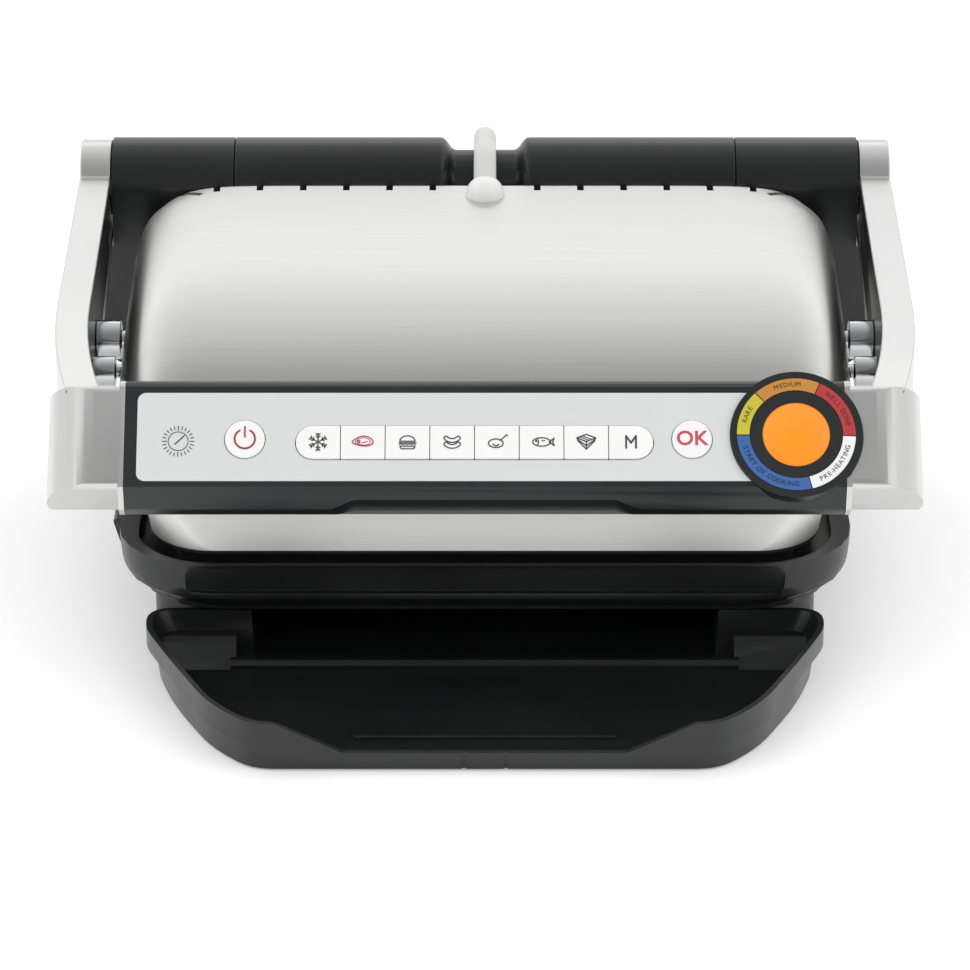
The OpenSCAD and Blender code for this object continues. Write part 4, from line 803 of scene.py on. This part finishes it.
def seenDirectly(owner):
    # 1 for rays from the camera and for those mirrored by metal or passed on by glass
    ray = addNode(owner, "ShaderNodeLightPath").outputs
    some = addNode(owner, "ShaderNodeMath", {0: ray["Is Camera Ray"], 1: ray["Is Glossy Ray"]})
    links = {0: some.outputs[0], 1: ray["Is Transmission Ray"]}
    return addNode(owner, "ShaderNodeMath", links, use_clamp=True).outputs[0]


def makeFloor(s):
    # matt white floor that the camera sees a little brighter, so that it meets the white backdrop
    k = s["size"]
    mat, bsdf = newMaterial("matt white backdrop board", s["floor"], Roughness=0.9, Specular_IOR_Level=0.0)
    glow = addNode(mat, "ShaderNodeMath", {0: seenDirectly(mat)}, operation="MULTIPLY")
    glow.inputs[1].default_value = s["lift"]
    bsdf.inputs["Emission Color"].default_value = (1, 1, 1, 1)
    mat.node_tree.links.new(glow.outputs[0], bsdf.inputs["Emission Strength"])
    floor = meshPiece("floor", [(-k, -k, 0), (k, -k, 0), (k, k, 0), (-k, k, 0)], [(0, 1, 2, 3)], mat, False)


def makeWorld(s):
    # studio light: the white backdrop behind and dimmer bands in front, by the direction's X, which give
    # the silver parts their stripes; plain white where the camera looks past the object
    world = bpy.data.worlds.new("studio")
    scene.world = world
    world.use_nodes = True
    world.node_tree.nodes.clear()
    path = addNode(world, "ShaderNodeLightPath")
    where = addNode(world, "ShaderNodeTexCoord")
    parts = addNode(world, "ShaderNodeSeparateXYZ", {0: where.outputs["Generated"]})
    aside = addNode(world, "ShaderNodeMath", {0: parts.outputs["X"]}, operation="ABSOLUTE")
    bands = addNode(world, "ShaderNodeFloatCurve", {"Value": aside.outputs[0]})
    curve = bands.mapping.curves[0]
    for point, (x, y) in zip(curve.points, (s["sides"][0], s["sides"][-1])):
        point.location = (x, y / s["curveTop"])
    for x, y in s["sides"][1:-1]:
        curve.points.new(x, y / s["curveTop"])
    bands.mapping.update()
    front = addNode(world, "ShaderNodeMath", {0: bands.outputs[0]}, operation="MULTIPLY")
    front.inputs[1].default_value = s["curveTop"]
    back = addNode(world, "ShaderNodeMapRange", {"Value": parts.outputs["Y"]},
                   interpolation_type="SMOOTHSTEP", From_Min=s["backFrom"], From_Max=s["backTo"])
    level = addNode(world, "ShaderNodeMix", {0: back.outputs[0], 2: front.outputs[0]})
    level.inputs[3].default_value = s["behind"]
    lit = addNode(world, "ShaderNodeBackground", {"Strength": level.outputs[0]})
    white = addNode(world, "ShaderNodeBackground")
    for node in (lit, white):
        node.inputs["Color"].default_value = (1, 1, 1, 1)
    mix = addNode(world, "ShaderNodeMixShader",
                  {0: path.outputs["Is Camera Ray"], 1: lit.outputs[0], 2: white.outputs[0]})
    addNode(world, "ShaderNodeOutputWorld", {"Surface": mix.outputs[0]})


# place, target, size in metres, power in watts
lamps = {"top": ((0.0, 0.1, 1.9), (0, 0.0, 0.1), (2.4, 2.0), 7.0),
         "left": ((-1.8, -0.6, 1.0), (0, 0, 0.1), (1.0, 1.4), 4.0),
         "right": ((1.8, -0.6, 1.0), (0, 0, 0.1), (1.0, 1.4), 4.0),
         "front": ((0.0, -2.4, 1.6), (0, 0, 0.1), (1.6, 0.8), 5.0),
         "strip": ((0.0, 1.9, 1.5), (0, 0, 0.1), (3.4, 0.2), 3.5)}


def addLamp(name, place, target, size, power):
    # a soft box that lights the matt parts; only the strip behind shows in the reflections
    data = bpy.data.lights.new(name, "AREA")
    data.shape = "RECTANGLE"
    data.size, data.size_y = size
    data.energy = power
    lamp = bpy.data.objects.new(name, data)
    scene.collection.objects.link(lamp)
    lamp.location = place
    lamp.rotation_euler = (Vector(target) - Vector(place)).to_track_quat("-Z", "Y").to_euler()
    lamp.visible_glossy = name == "strip"


makeFloor(stage)
makeWorld(stage)
for lampName, (place, target, size, power) in lamps.items():
    addLamp(lampName, place, target, size, power)
print("stage lit")
